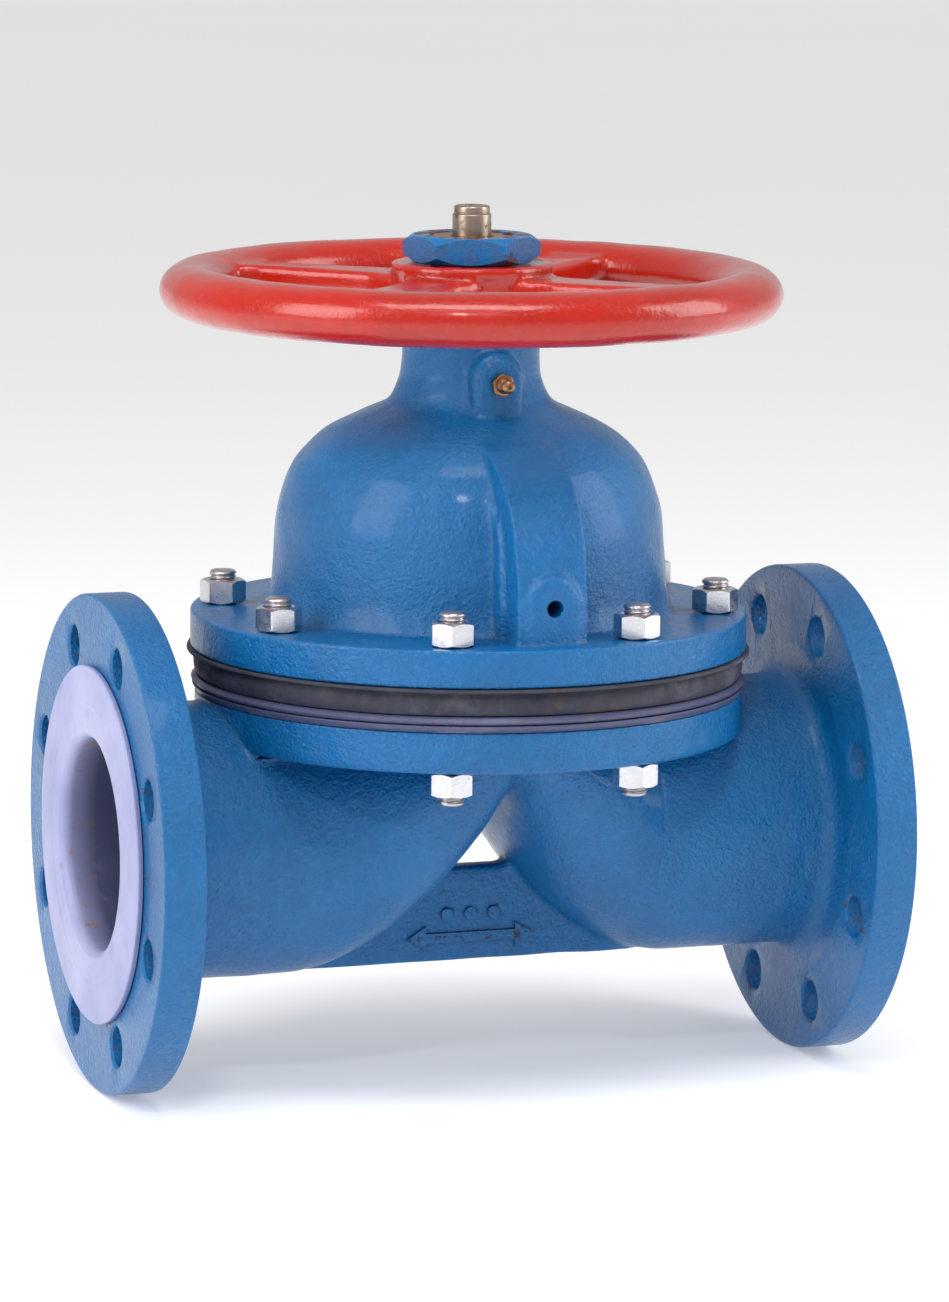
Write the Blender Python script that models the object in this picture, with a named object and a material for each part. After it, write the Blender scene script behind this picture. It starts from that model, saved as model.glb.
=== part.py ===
"""Lined weir-type diaphragm valve, DN100, with a rising stem and a handwheel.

Frame: metres, +Z up along the stem, +X along the pipe from inlet to outlet,
origin on the pipe axis midway between the two end flanges. The valve is modelled
fully open. The handwheel turns the sleeve nut, which lifts or lowers the stem, the
compressor and the middle of the diaphragm by up to 42 mm at 4 mm a turn.
"""
import math

import bmesh
import bpy
import numpy as np
from mathutils import Matrix, Vector

GAP = 0.0003

# Pipe run and end flanges (DN100, PN10).
FACE_TO_FACE = 0.350
LINING_PROUD = 0.003
END_FLANGE_RADIUS = 0.110
END_FLANGE_THICKNESS = 0.019
END_BOLT_CIRCLE_RADIUS = 0.090
END_BOLT_HOLE_RADIUS = 0.009
PIPE_RADIUS = 0.061
NECK_FILLET = 0.009
RAISED_FACE_RADIUS = 0.079
LINED_BORE_RADIUS = 0.0465
LINING_THICKNESS = 0.0032
LINING_GAP = 0.0011
METAL_FACE_X = FACE_TO_FACE / 2 - LINING_PROUD

# Weir passage, one row per station on one side of the weir:
# distance from the weir, floor, half width, height of the widest point, roof.
PASSAGE = (
    (0.000, 0.0280, 0.0690, 0.0555, 0.0578),
    (0.006, 0.0255, 0.0686, 0.0530, 0.0575),
    (0.012, 0.0175, 0.0680, 0.0485, 0.0570),
    (0.020, 0.0040, 0.0665, 0.0415, 0.0565),
    (0.030, -0.0105, 0.0640, 0.0330, 0.0555),
    (0.039, -0.0210, 0.0610, 0.0250, 0.0535),
    (0.050, -0.0310, 0.0570, 0.0160, 0.0510),
    (0.064, -0.0400, 0.0515, 0.0070, 0.0480),
    (0.086, -0.0465, 0.0465, 0.0000, 0.0465),
    (0.150, -0.0465, 0.0465, 0.0000, 0.0465),
)
PASSAGE_OVERRUN = 0.180
# Outside of the casting: distance from the weir, underside, half width.
CASTING = (
    (0.0000, 0.0160, 0.0830),
    (0.0035, 0.0100, 0.0828),
    (0.0090, -0.0020, 0.0823),
    (0.0196, -0.0180, 0.0810),
    (0.0300, -0.0310, 0.0785),
    (0.0420, -0.0410, 0.0750),
    (0.0580, -0.0520, 0.0690),
    (0.0845, -0.0610, 0.0610),
    (0.1600, -0.0610, 0.0610),
)
CASTING_ROOF = 0.061
CHAMBER_HALF_LENGTH = 0.080
CHAMBER_HALF_WIDTH = 0.067
CHAMBER_FLOOR_CLEARANCE = 0.0012
WEB_THICKNESS = 0.012
WEB_HALF_LENGTH = 0.078
WEB_TOP = -0.018

# Flanged joint between body and bonnet, from bottom to top.
BODY_FLANGE_RADIUS = 0.1215
BODY_FLANGE_BOTTOM = 0.044
BODY_FLANGE_TOP = 0.062
LINING_FLANGE_TOP = 0.0653
FACE_SHEET_TOP = 0.0691
BACKING_TOP = 0.0813
BONNET_BOTTOM = 0.0816
BONNET_FLANGE_TOP = 0.098
BONNET_FLANGE_RADIUS = 0.1235
SOFT_RADIUS = 0.1225
BONNET_BOLT_CIRCLE_RADIUS = 0.1095
BONNET_BOLT_COUNT = 8
BOLT_CLEARANCE_RADIUS = 0.00675
STUD_RADIUS = 0.006
TAPPED_RADIUS = 0.0063
STUD_PROTRUSION = 0.0040
STUD_CHAMFER = 0.0010
TAPPED_HOLE_BOTTOM = 0.046
NUT_ACROSS_FLATS = 0.018
NUT_HEIGHT = 0.0105

# Diaphragm.
DIAPHRAGM_FLEX_RADIUS = 0.066
FACE_SHEET_RISE = 0.0050
FACE_SHEET_THICKNESS = 0.0035
BACKING_CROWN = 0.0840

# Bonnet bell, radius and height, outside then inside.
BELL_OUTSIDE = (
    (0.0915, 0.0975),
    (0.0880, 0.1070),
    (0.0867, 0.1245),
    (0.0857, 0.1390),
    (0.0835, 0.1490),
    (0.0797, 0.1596),
    (0.0740, 0.1684),
    (0.0638, 0.1774),
    (0.0490, 0.1850),
    (0.0378, 0.1900),
    (0.0338, 0.1950),
    (0.0311, 0.2022),
    (0.0305, 0.2255),
)
BELL_INSIDE = (
    (0.0785, 0.0816),
    (0.0785, 0.1390),
    (0.0765, 0.1470),
    (0.0718, 0.1565),
    (0.0648, 0.1650),
    (0.0545, 0.1720),
    (0.0390, 0.1782),
    (0.0200, 0.1820),
)
STEM_PASSAGE_RADIUS = 0.0096
ORING_GROOVE_RADIUS = 0.0123
ORING_GROOVE = (0.1860, 0.1900)
NECK_FLOOR = 0.197
NECK_TOP = 0.2255
NECK_BORE_RADIUS = 0.024
RIB_HALF_WIDTH = 0.016
RIB_OUTLINE = (
    (0.0560, 0.0900),
    (0.1120, 0.0900),
    (0.1115, 0.1100),
    (0.1095, 0.1300),
    (0.1055, 0.1450),
    (0.0985, 0.1570),
    (0.0885, 0.1665),
    (0.0760, 0.1735),
    (0.0640, 0.1782),
    (0.0560, 0.1800),
)
GUIDE_SLOT_HALF_WIDTH = 0.0055
GUIDE_SLOT_DEPTH = 0.0930
GUIDE_SLOT_TOP = 0.1480
VENT_HEIGHT = 0.114
VENT_RADIUS = 0.00375
VENT_BOSS_HALF_WIDTH = 0.010
VENT_BOSS_FRONT = 0.1142
GREASE_HEIGHT = 0.2020
GREASE_BOSS_HALF_WIDTH = 0.0095
GREASE_BOSS_FRONT = 0.0410
GREASE_HOLE_RADIUS = 0.0033

# Stem, sleeve nut and their seats.
STEM_RADIUS = 0.009
STEM_BOTTOM = 0.108
STEM_TOP = 0.2768
STEM_END_RADIUS = 0.0086
STEM_END_BOTTOM = 0.2620
STEM_STEP = 0.0038
SLEEVE_BORE_RADIUS = 0.0093
SLEEVE_RADIUS = 0.0180
SLEEVE_BOTTOM = 0.1996
SLEEVE_TOP = 0.2634
COLLAR_RADIUS = 0.0235
COLLAR_TOP = 0.2056
WASHER_THICKNESS = 0.0020
RETAINER_BOTTOM = 0.2082
RETAINER_TOP = 0.2196
RETAINER_RADIUS = 0.0237
SEAL_TOP = 0.2244

# Compressor.
HUB_RADIUS = 0.017
HUB_BOTTOM = 0.0844
HUB_TOP = 0.134
STEM_SOCKET_BOTTOM = 0.1070
SPINE_HALF_THICKNESS = 0.008
SPINE_REACH = 0.065
SPINE_BOTTOM_CURVE = 5.2
FINGER_REACH = 0.047
FINGER_HALF_THICKNESS = 0.006
TONGUE_REACH = 0.089
TONGUE_HALF_WIDTH = 0.0045
TONGUE_BOTTOM = 0.1275
TONGUE_TOP = 0.1440
PIN_RADIUS = 0.004
PIN_HEIGHT = 0.120
DIAPHRAGM_STUD_RADIUS = 0.005
DIAPHRAGM_STUD_HEAD_RADIUS = 0.012
DIAPHRAGM_STUD_TOP = 0.1010

# Handwheel.
WHEEL_RADIUS = 0.1375
RIM_WIDTH = 0.029
RIM_BOTTOM = 0.2272
RIM_TOP = 0.2510
WHEEL_HUB_RADIUS = 0.0335
WHEEL_HUB_BOTTOM = 0.2288
WHEEL_HUB_TOP = 0.2520
SPOKE_COUNT = 4
SPOKE_ANGLE = math.radians(45.0)
SPOKE_TOP = 0.2460
SPOKE_DEPTH = 0.012
SPOKE_HALF_WIDTH_AT_HUB = 0.0135
SPOKE_HALF_WIDTH_AT_RIM = 0.0105
KEY_HALF_WIDTH = 0.0030
KEY_INNER = 0.0153
KEY_OUTER = 0.0207
LOCKNUT_ACROSS_FLATS = 0.053
LOCKNUT_BOTTOM = 0.2523
LOCKNUT_TOP = 0.2640
LOCKNUT_TURN = math.radians(-109.7)

# Colour, roughness and metallic value of each finish.
FINISHES = {
    "blue_paint": ((0.006, 0.165, 0.48, 1.0), 0.35, 0.0),
    "red_paint": ((0.62, 0.035, 0.018, 1.0), 0.22, 0.0),
    "fluoropolymer": ((0.78, 0.77, 0.83, 1.0), 0.42, 0.0),
    "rubber": ((0.035, 0.038, 0.050, 1.0), 0.75, 0.0),
    "zinc": ((0.62, 0.62, 0.60, 1.0), 0.32, 1.0),
    "steel": ((0.30, 0.26, 0.22, 1.0), 0.38, 1.0),
    "brass": ((0.62, 0.42, 0.16, 1.0), 0.35, 1.0),
    "cast_iron": ((0.12, 0.12, 0.125, 1.0), 0.65, 0.6),
}


def clear_scene():
    for item in list(bpy.data.objects):
        bpy.data.objects.remove(item, do_unlink=True)


def make_material(name, finish):
    colour, roughness, metallic = FINISHES[finish]
    material = bpy.data.materials.new(name)
    material.use_nodes = True
    shader = material.node_tree.nodes["Principled BSDF"]
    shader.inputs["Base Color"].default_value = colour
    shader.inputs["Roughness"].default_value = roughness
    shader.inputs["Metallic"].default_value = metallic
    return material


def mesh_object(name, points, faces):
    """Closed solid from points and faces, with its faces turned outwards."""
    mesh = bpy.data.meshes.new(name)
    mesh.from_pydata([tuple(point) for point in points], [], faces)
    edit = bmesh.new()
    edit.from_mesh(mesh)
    bmesh.ops.remove_doubles(edit, verts=edit.verts, dist=1e-7)
    bmesh.ops.recalc_face_normals(edit, faces=edit.faces)
    edit.to_mesh(mesh)
    edit.free()
    item = bpy.data.objects.new(name, mesh)
    bpy.context.scene.collection.objects.link(item)
    return item


def finish_piece(item, finish, smooth_angle=35.0):
    """Gives a finished piece its own material and its smooth or sharp edges."""
    item.data.materials.clear()
    item.data.materials.append(make_material(item.name, finish))
    item.data.shade_smooth()
    item.data.set_sharp_from_angle(angle=math.radians(smooth_angle))
    return item


def combine(target, tool, operation):
    """Joins, cuts or intersects the target with a tool, which is used up."""
    modifier = target.modifiers.new("combine", "BOOLEAN")
    modifier.operation = operation
    modifier.object = tool
    modifier.solver = "EXACT"
    bpy.context.view_layer.update()
    graph = bpy.context.evaluated_depsgraph_get()
    result = bpy.data.meshes.new_from_object(target.evaluated_get(graph))
    target.modifiers.clear()
    target.data = result
    bpy.data.objects.remove(tool, do_unlink=True)
    return target


def join(target, *tools):
    for tool in tools:
        combine(target, tool, "UNION")
    return target


def cut(target, *tools):
    for tool in tools:
        combine(target, tool, "DIFFERENCE")
    return target


def turn(profile, segments=32, name="turned"):
    """Solid turned about Z from a closed outline of (radius, height) points."""
    points = []
    rings = []
    for radius, height in profile:
        if radius < 1e-7:
            rings.append([len(points)] * segments)
            points.append((0.0, 0.0, height))
            continue
        rings.append(list(range(len(points), len(points) + segments)))
        for step in range(segments):
            angle = 2 * math.pi * step / segments
            points.append((radius * math.cos(angle), radius * math.sin(angle), height))
    faces = []
    for index, ring in enumerate(rings):
        following = rings[(index + 1) % len(rings)]
        for step in range(segments):
            after = (step + 1) % segments
            corners = (ring[step], ring[after], following[after], following[step])
            face = list(dict.fromkeys(corners))
            if len(face) > 2:
                faces.append(face)
    return mesh_object(name, points, faces)


def cylinder(radius, bottom, top, segments=12, name="cylinder"):
    return turn(((0, bottom), (radius, bottom), (radius, top), (0, top)), segments, name)


def ring(inner, outer, bottom, top, segments=24, name="ring"):
    outline = ((inner, bottom), (outer, bottom), (outer, top), (inner, top))
    return turn(outline, segments, name)


def move(item, matrix):
    item.data.transform(matrix)
    return item


def along_x(item):
    return move(item, Matrix.Rotation(math.pi / 2, 4, "Y"))


def along_y(item):
    return move(item, Matrix.Rotation(-math.pi / 2, 4, "X"))


def loft(sections, name="loft"):
    """Solid through closed sections that have the same number of points."""
    count = len(sections[0])
    points = [point for section in sections for point in section]
    faces = [list(range(count)), list(range(len(points) - count, len(points)))]
    for index in range(len(sections) - 1):
        base = index * count
        for step in range(count):
            after = (step + 1) % count
            faces.append([base + step, base + after, base + count + after, base + count + step])
    return mesh_object(name, points, faces)


def extrude(outline, low, high, plane="XY", name="extruded"):
    """Prism of a flat outline; plane names the two axes the outline lies in."""
    normal = ({"X", "Y", "Z"} - set(plane)).pop()
    sections = []
    for level in (low, high):
        section = []
        for first, second in outline:
            place = {plane[0]: first, plane[1]: second, normal: level}
            section.append((place["X"], place["Y"], place["Z"]))
        sections.append(section)
    return loft(sections, name)


def box(low, high, name="box"):
    outline = ((low[0], low[1]), (high[0], low[1]), (high[0], high[1]), (low[0], high[1]))
    return extrude(outline, low[2], high[2], "XY", name)


def merge(items, name="merged"):
    """One tool out of several that don't touch each other."""
    points = []
    faces = []
    for item in items:
        base = len(points)
        points.extend(vertex.co.copy() for vertex in item.data.vertices)
        faces.extend([base + index for index in face.vertices] for face in item.data.polygons)
        bpy.data.objects.remove(item, do_unlink=True)
    return mesh_object(name, points, faces)


def bolt_circle(radius, count):
    """Points on a bolt circle about Z, none of them on the X or Y axis."""
    for index in range(count):
        angle = 2 * math.pi * (index + 0.5) / count
        yield radius * math.cos(angle), radius * math.sin(angle)


def bonnet_bolts():
    return list(bolt_circle(BONNET_BOLT_CIRCLE_RADIUS, BONNET_BOLT_COUNT))


def is_through_bolt(place):
    """The bolts clear of the pipe pass right through; the others are tapped in."""
    return abs(place[1]) > abs(place[0])


def holes(places, radius, bottom, top, segments=8):
    drills = []
    for x, y in places:
        drills.append(move(cylinder(radius, bottom, top, segments), Matrix.Translation((x, y, 0))))
    return merge(drills)


def arched_block(half_width, bottom, height, back, front):
    """Pad on the -Y side with a round top centred at the given height."""
    outline = [(-half_width, bottom), (half_width, bottom)]
    for step in range(9):
        angle = math.pi * step / 8
        outline.append((half_width * math.cos(angle), height + half_width * math.sin(angle)))
    return extrude(outline, -front, -back, "XZ")


# The flow passage.

def offset_row(rows, index, distance):
    """Floor point of a passage row, moved square to the floor by a distance."""
    before = rows[max(index - 1, 0)]
    after = rows[min(index + 1, len(rows) - 1)]
    run = after[0] - before[0] if index else 1.0
    rise = after[1] - before[1] if index else 0.0
    length = math.hypot(run, rise)
    return rows[index][0] + distance * rise / length, rows[index][1] - distance * run / length


def passage_rows(distance):
    """Passage rows grown outwards by a distance, from the weir to one end."""
    grown = []
    for index, (_, _, width, centre, roof) in enumerate(PASSAGE):
        x, floor = offset_row(PASSAGE, index, distance)
        grown.append((x, floor, width + distance, centre, roof + distance))
    return grown


def casting_rows():
    stations = [row[0] for row in PASSAGE]
    centres = [row[3] for row in PASSAGE]
    return [(x, floor, width, float(np.interp(x, stations, centres)), CASTING_ROOF)
            for x, floor, width in CASTING]


def section(x, floor, width, centre, roof, count=20):
    points = []
    for step in range(count):
        angle = 2 * math.pi * step / count
        reach = roof - centre if math.sin(angle) > 0 else centre - floor
        points.append((x, width * math.cos(angle), centre + reach * math.sin(angle)))
    return points


def passage_solid(rows, end=None):
    """Solid through the rows on both sides, drawn out straight to the given end."""
    if end:
        rows = rows + [(end,) + tuple(rows[-1][1:])]
    sections = [section(-row[0], *row[1:]) for row in reversed(rows[1:])]
    sections += [section(*row) for row in rows]
    return loft(sections)


def floor_height(rows, x, y):
    """Height of the passage floor above a point in plan."""
    stations = [row[0] for row in rows]
    floor, width, centre = [np.interp(abs(x), stations, [row[column] for row in rows])
                            for column in (1, 2, 3)]
    across = min(abs(y) / width, 1.0)
    return float(centre - (centre - floor) * math.sqrt(1.0 - across * across))


def chamber_solid(rows, distance, top, segments=32):
    """Oval column over the weir, with its floor just above the passage floor."""
    length = CHAMBER_HALF_LENGTH + distance
    width = CHAMBER_HALF_WIDTH + distance
    clearance = CHAMBER_FLOOR_CLEARANCE
    points = [(0.0, 0.0, floor_height(rows, 0.0, 0.0) + clearance)]
    shells = []
    for share in (0.25, 0.5, 0.75, 1.0):
        shells.append(len(points))
        for step in range(segments):
            angle = 2 * math.pi * (step + 0.5) / segments
            x = length * share * math.cos(angle)
            y = width * share * math.sin(angle)
            points.append((x, y, floor_height(rows, x, y) + clearance))
    shells.append(len(points))
    points += [(x, y, top) for x, y, _ in points[shells[-2]:]]
    faces = [[0, shells[0] + (step + 1) % segments, shells[0] + step] for step in range(segments)]
    for first, second in zip(shells, shells[1:]):
        for step in range(segments):
            after = (step + 1) % segments
            faces.append([first + step, first + after, second + after, second + step])
    faces.append(list(range(shells[-1], shells[-1] + segments)))
    return mesh_object("chamber", points, faces)


# The pieces.

def end_flange(side):
    """Flange disc with a filleted neck, on the +X or -X end."""
    back = METAL_FACE_X - END_FLANGE_THICKNESS
    outline = [(0.0, METAL_FACE_X), (0.0, back - NECK_FILLET - 0.002)]
    for step in range(4):
        angle = math.pi / 2 * step / 3
        radius = PIPE_RADIUS + 0.0004 + NECK_FILLET * (1 - math.cos(angle))
        outline.append((radius, back - NECK_FILLET * (1 - math.sin(angle))))
    outline += [(END_FLANGE_RADIUS, back), (END_FLANGE_RADIUS, METAL_FACE_X)]
    flange = along_x(turn(outline, 40))
    if side < 0:
        move(flange, Matrix.Rotation(math.pi, 4, "Z"))
    return flange


def end_bolt_holes():
    drills = holes(bolt_circle(END_BOLT_CIRCLE_RADIUS, 8), END_BOLT_HOLE_RADIUS, -0.2, 0.2, 12)
    return along_x(drills)


def make_body():
    wall = LINING_THICKNESS + LINING_GAP
    body = passage_solid(casting_rows())
    body.name = "valve_body"
    reach = WEB_THICKNESS / 2
    web = box((-WEB_HALF_LENGTH, -reach, -PIPE_RADIUS), (WEB_HALF_LENGTH, reach, WEB_TOP))
    flange = cylinder(BODY_FLANGE_RADIUS, BODY_FLANGE_BOTTOM, BODY_FLANGE_TOP, 48)
    join(body, web, flange, end_flange(1), end_flange(-1))
    rows = passage_rows(wall)
    cut(body, passage_solid(rows, PASSAGE_OVERRUN))
    cut(body, chamber_solid(rows, wall, BODY_FLANGE_TOP + 0.01))
    through = [place for place in bonnet_bolts() if is_through_bolt(place)]
    tapped = [place for place in bonnet_bolts() if not is_through_bolt(place)]
    cut(body, holes(through, BOLT_CLEARANCE_RADIUS, 0.03, 0.08))
    cut(body, holes(tapped, TAPPED_RADIUS, TAPPED_HOLE_BOTTOM, 0.08, 12))
    cut(body, end_bolt_holes())
    return finish_piece(body, "blue_paint")


def make_lining():
    grown = passage_rows(LINING_THICKNESS)
    lining = passage_solid(grown, FACE_TO_FACE / 2 - 0.0012)
    lining.name = "body_lining"
    join(lining, chamber_solid(grown, LINING_THICKNESS, BODY_FLANGE_TOP + 0.0015))
    join(lining, cylinder(SOFT_RADIUS, BODY_FLANGE_TOP + GAP, LINING_FLANGE_TOP, 48))
    for side in (-1, 1):
        raised = along_x(cylinder(RAISED_FACE_RADIUS, METAL_FACE_X + GAP, FACE_TO_FACE / 2, 40))
        if side < 0:
            move(raised, Matrix.Rotation(math.pi, 4, "Z"))
        join(lining, raised)
    rows = passage_rows(0.0)
    cut(lining, passage_solid(rows, PASSAGE_OVERRUN))
    cut(lining, chamber_solid(rows, 0.0, LINING_FLANGE_TOP + 0.01))
    cut(lining, holes(bonnet_bolts(), BOLT_CLEARANCE_RADIUS, 0.03, 0.08))
    return finish_piece(lining, "fluoropolymer")


def dome_height(share, rise):
    """Rise of the flexing middle, from 0 at the clamp to the full rise."""
    return rise * math.cos(math.pi / 2 * min(share, 1.0)) ** 2


def diaphragm_outline(bottom, top, rise_below, rise_above):
    """Outline of a disc whose middle is domed up inside the clamped edge."""
    shares = (0.0, 0.25, 0.5, 0.75, 1.0)
    below = [(share * DIAPHRAGM_FLEX_RADIUS, bottom + dome_height(share, rise_below))
             for share in shares]
    above = [(share * DIAPHRAGM_FLEX_RADIUS, top + dome_height(share, rise_above))
             for share in reversed(shares)]
    return below + [(SOFT_RADIUS, bottom), (SOFT_RADIUS, top)] + above


def make_diaphragm_face():
    bottom = LINING_FLANGE_TOP + GAP
    rise_above = FACE_SHEET_RISE + FACE_SHEET_THICKNESS - (FACE_SHEET_TOP - bottom)
    outline = diaphragm_outline(bottom, FACE_SHEET_TOP, FACE_SHEET_RISE, rise_above)
    sheet = turn(outline, 32, "diaphragm_face")
    cut(sheet, holes(bonnet_bolts(), BOLT_CLEARANCE_RADIUS, 0.05, 0.09))
    return finish_piece(sheet, "fluoropolymer")


def face_sheet_crown():
    """Top of the face sheet at its middle."""
    return LINING_FLANGE_TOP + GAP + FACE_SHEET_RISE + FACE_SHEET_THICKNESS


def make_diaphragm_backing():
    bottom = FACE_SHEET_TOP + GAP
    rise_below = face_sheet_crown() + GAP - bottom
    outline = diaphragm_outline(bottom, BACKING_TOP, rise_below, BACKING_CROWN - BACKING_TOP)
    backing = turn(outline, 32, "diaphragm_backing")
    cut(backing, holes(bonnet_bolts(), BOLT_CLEARANCE_RADIUS, 0.05, 0.09))
    head_top = face_sheet_crown() + 0.0062
    head_room = cylinder(DIAPHRAGM_STUD_HEAD_RADIUS + GAP, 0.06, head_top, 16)
    shank_room = cylinder(DIAPHRAGM_STUD_RADIUS + GAP, head_top - 0.001, 0.09, 16)
    cut(backing, head_room, shank_room)
    return finish_piece(backing, "rubber")


def make_diaphragm_stud():
    bottom = face_sheet_crown() + GAP
    shoulder = face_sheet_crown() + 0.0062 - GAP
    outline = (
        (0.0, bottom),
        (DIAPHRAGM_STUD_HEAD_RADIUS, bottom),
        (DIAPHRAGM_STUD_HEAD_RADIUS, shoulder),
        (DIAPHRAGM_STUD_RADIUS, shoulder),
        (DIAPHRAGM_STUD_RADIUS, DIAPHRAGM_STUD_TOP - 0.001),
        (DIAPHRAGM_STUD_RADIUS - 0.001, DIAPHRAGM_STUD_TOP),
        (0.0, DIAPHRAGM_STUD_TOP),
    )
    return finish_piece(turn(outline, 16, "diaphragm_stud"), "steel")


def spine_bottom(y):
    """Underside of the compressor, which follows the round of the weir."""
    return HUB_BOTTOM + SPINE_BOTTOM_CURVE * y * y


def make_compressor():
    compressor = cylinder(HUB_RADIUS, HUB_BOTTOM, HUB_TOP, 20, "compressor")
    reach = SPINE_REACH
    bottom = [(y, spine_bottom(y)) for y in np.linspace(-reach, reach, 9)]
    top = [(reach, TONGUE_TOP), (reach - 0.016, TONGUE_TOP), (0.020, 0.116),
           (-0.020, 0.116), (0.016 - reach, TONGUE_TOP), (-reach, TONGUE_TOP)]
    half = SPINE_HALF_THICKNESS
    spine = extrude(bottom + top, -half, half, "YZ")
    fingers = [(-FINGER_REACH, HUB_BOTTOM + 0.004), (-0.01, HUB_BOTTOM + 0.0006),
               (0.01, HUB_BOTTOM + 0.0006), (FINGER_REACH, HUB_BOTTOM + 0.004),
               (FINGER_REACH, HUB_BOTTOM + 0.016), (0.01, HUB_BOTTOM + 0.030),
               (-0.01, HUB_BOTTOM + 0.030), (-FINGER_REACH, HUB_BOTTOM + 0.016)]
    half = FINGER_HALF_THICKNESS
    crossbar = extrude(fingers, -half, half, "XZ")
    half = TONGUE_HALF_WIDTH
    join(compressor, spine, crossbar)
    for side in (-1, 1):
        low, high = sorted((side * (reach - 0.01), side * TONGUE_REACH))
        join(compressor, box((-half, low, TONGUE_BOTTOM), (half, high, TONGUE_TOP - 0.001)))
    cut(compressor, cylinder(STEM_RADIUS + GAP, STEM_SOCKET_BOTTOM, 0.2, 16))
    cut(compressor, cylinder(DIAPHRAGM_STUD_RADIUS + GAP, 0.08, DIAPHRAGM_STUD_TOP + 0.001, 12))
    cross_hole = along_x(cylinder(PIN_RADIUS + GAP, -0.03, 0.03, 12))
    cut(compressor, move(cross_hole, Matrix.Translation((0, 0, PIN_HEIGHT))))
    return finish_piece(compressor, "cast_iron")


def make_compressor_pin():
    pin = along_x(cylinder(PIN_RADIUS, 0.0005 - HUB_RADIUS, HUB_RADIUS - 0.0005, 12))
    pin.name = "compressor_pin"
    return finish_piece(move(pin, Matrix.Translation((0, 0, PIN_HEIGHT))), "steel")


def make_stem():
    step = STEM_TOP - STEM_STEP
    outline = (
        (0.0, STEM_BOTTOM),
        (STEM_RADIUS, STEM_BOTTOM),
        (STEM_RADIUS, STEM_END_BOTTOM - 0.0004),
        (STEM_END_RADIUS, STEM_END_BOTTOM),
        (STEM_END_RADIUS, step),
        (STEM_END_RADIUS - 0.0006, step + 0.0003),
        (STEM_END_RADIUS - 0.0006, STEM_TOP - 0.001),
        (STEM_END_RADIUS - 0.0016, STEM_TOP),
        (0.0022, STEM_TOP),
        (0.0, STEM_TOP - 0.0018),
    )
    stem = turn(outline, 24, "stem")
    cross_hole = along_x(cylinder(PIN_RADIUS + GAP, -0.03, 0.03, 12))
    cut(stem, move(cross_hole, Matrix.Translation((0, 0, PIN_HEIGHT))))
    return finish_piece(stem, "steel")


def make_sleeve_nut():
    outline = (
        (SLEEVE_BORE_RADIUS, SLEEVE_BOTTOM),
        (COLLAR_RADIUS, SLEEVE_BOTTOM),
        (COLLAR_RADIUS, COLLAR_TOP),
        (SLEEVE_RADIUS, COLLAR_TOP),
        (SLEEVE_RADIUS, SLEEVE_TOP - 0.001),
        (SLEEVE_RADIUS - 0.001, SLEEVE_TOP),
        (SLEEVE_BORE_RADIUS, SLEEVE_TOP),
    )
    sleeve = turn(outline, 28, "sleeve_nut")
    half = KEY_HALF_WIDTH + GAP
    cut(sleeve, box((KEY_INNER - GAP, -half, WHEEL_HUB_BOTTOM), (0.03, half, SLEEVE_TOP + 0.01)))
    return finish_piece(sleeve, "brass")


def make_thrust_washers():
    inner = SLEEVE_RADIUS + 0.0005
    outer = NECK_BORE_RADIUS - 0.0004
    low = NECK_FLOOR + GAP
    high = COLLAR_TOP + GAP
    lower = ring(0.0140, outer, low, low + WASHER_THICKNESS, 24, "lower_thrust_washer")
    upper = ring(inner, outer, high, high + WASHER_THICKNESS, 24, "upper_thrust_washer")
    return [finish_piece(lower, "steel"), finish_piece(upper, "steel")]


def make_bearing_retainer():
    inner = SLEEVE_RADIUS + 0.0005
    retainer = ring(inner, RETAINER_RADIUS, RETAINER_BOTTOM, RETAINER_TOP, 24, "bearing_retainer")
    slot = box((-0.03, -0.0020, RETAINER_TOP - 0.0025), (0.03, 0.0020, RETAINER_TOP + 0.005))
    cut(retainer, slot)
    return finish_piece(retainer, "steel")


def make_dust_seal():
    bottom = RETAINER_TOP + GAP
    outline = (
        (SLEEVE_RADIUS + 0.0003, bottom),
        (NECK_BORE_RADIUS - 0.0004, bottom),
        (NECK_BORE_RADIUS - 0.0004, SEAL_TOP - 0.0010),
        (NECK_BORE_RADIUS - 0.0014, SEAL_TOP),
        (SLEEVE_RADIUS + 0.0003, SEAL_TOP),
    )
    return finish_piece(turn(outline, 24, "dust_seal"), "rubber")


def make_stem_oring():
    centre = 0.5 * (ORING_GROOVE[0] + ORING_GROOVE[1])
    thickness = 0.00135
    middle = STEM_RADIUS + GAP + thickness
    outline = []
    for step in range(8):
        angle = 2 * math.pi * step / 8
        outline.append((middle + thickness * math.cos(angle), centre + thickness * math.sin(angle)))
    return finish_piece(turn(outline, 20, "stem_oring"), "rubber")


def make_rib(side):
    outline = [(side * y, z) for y, z in RIB_OUTLINE]
    return extrude(outline, -RIB_HALF_WIDTH, RIB_HALF_WIDTH, "YZ")


def bell_cavity():
    """The hollow of the bell, a hair larger than the turned one, to clear the ribs out of it."""
    ease = 0.0001
    hollow = [(radius + ease, height + ease) for radius, height in BELL_INSIDE[1:]]
    top = hollow[-1][1]
    return turn([(0.0, 0.07), (hollow[0][0], 0.07)] + hollow + [(0.0, top)], 36)


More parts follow.
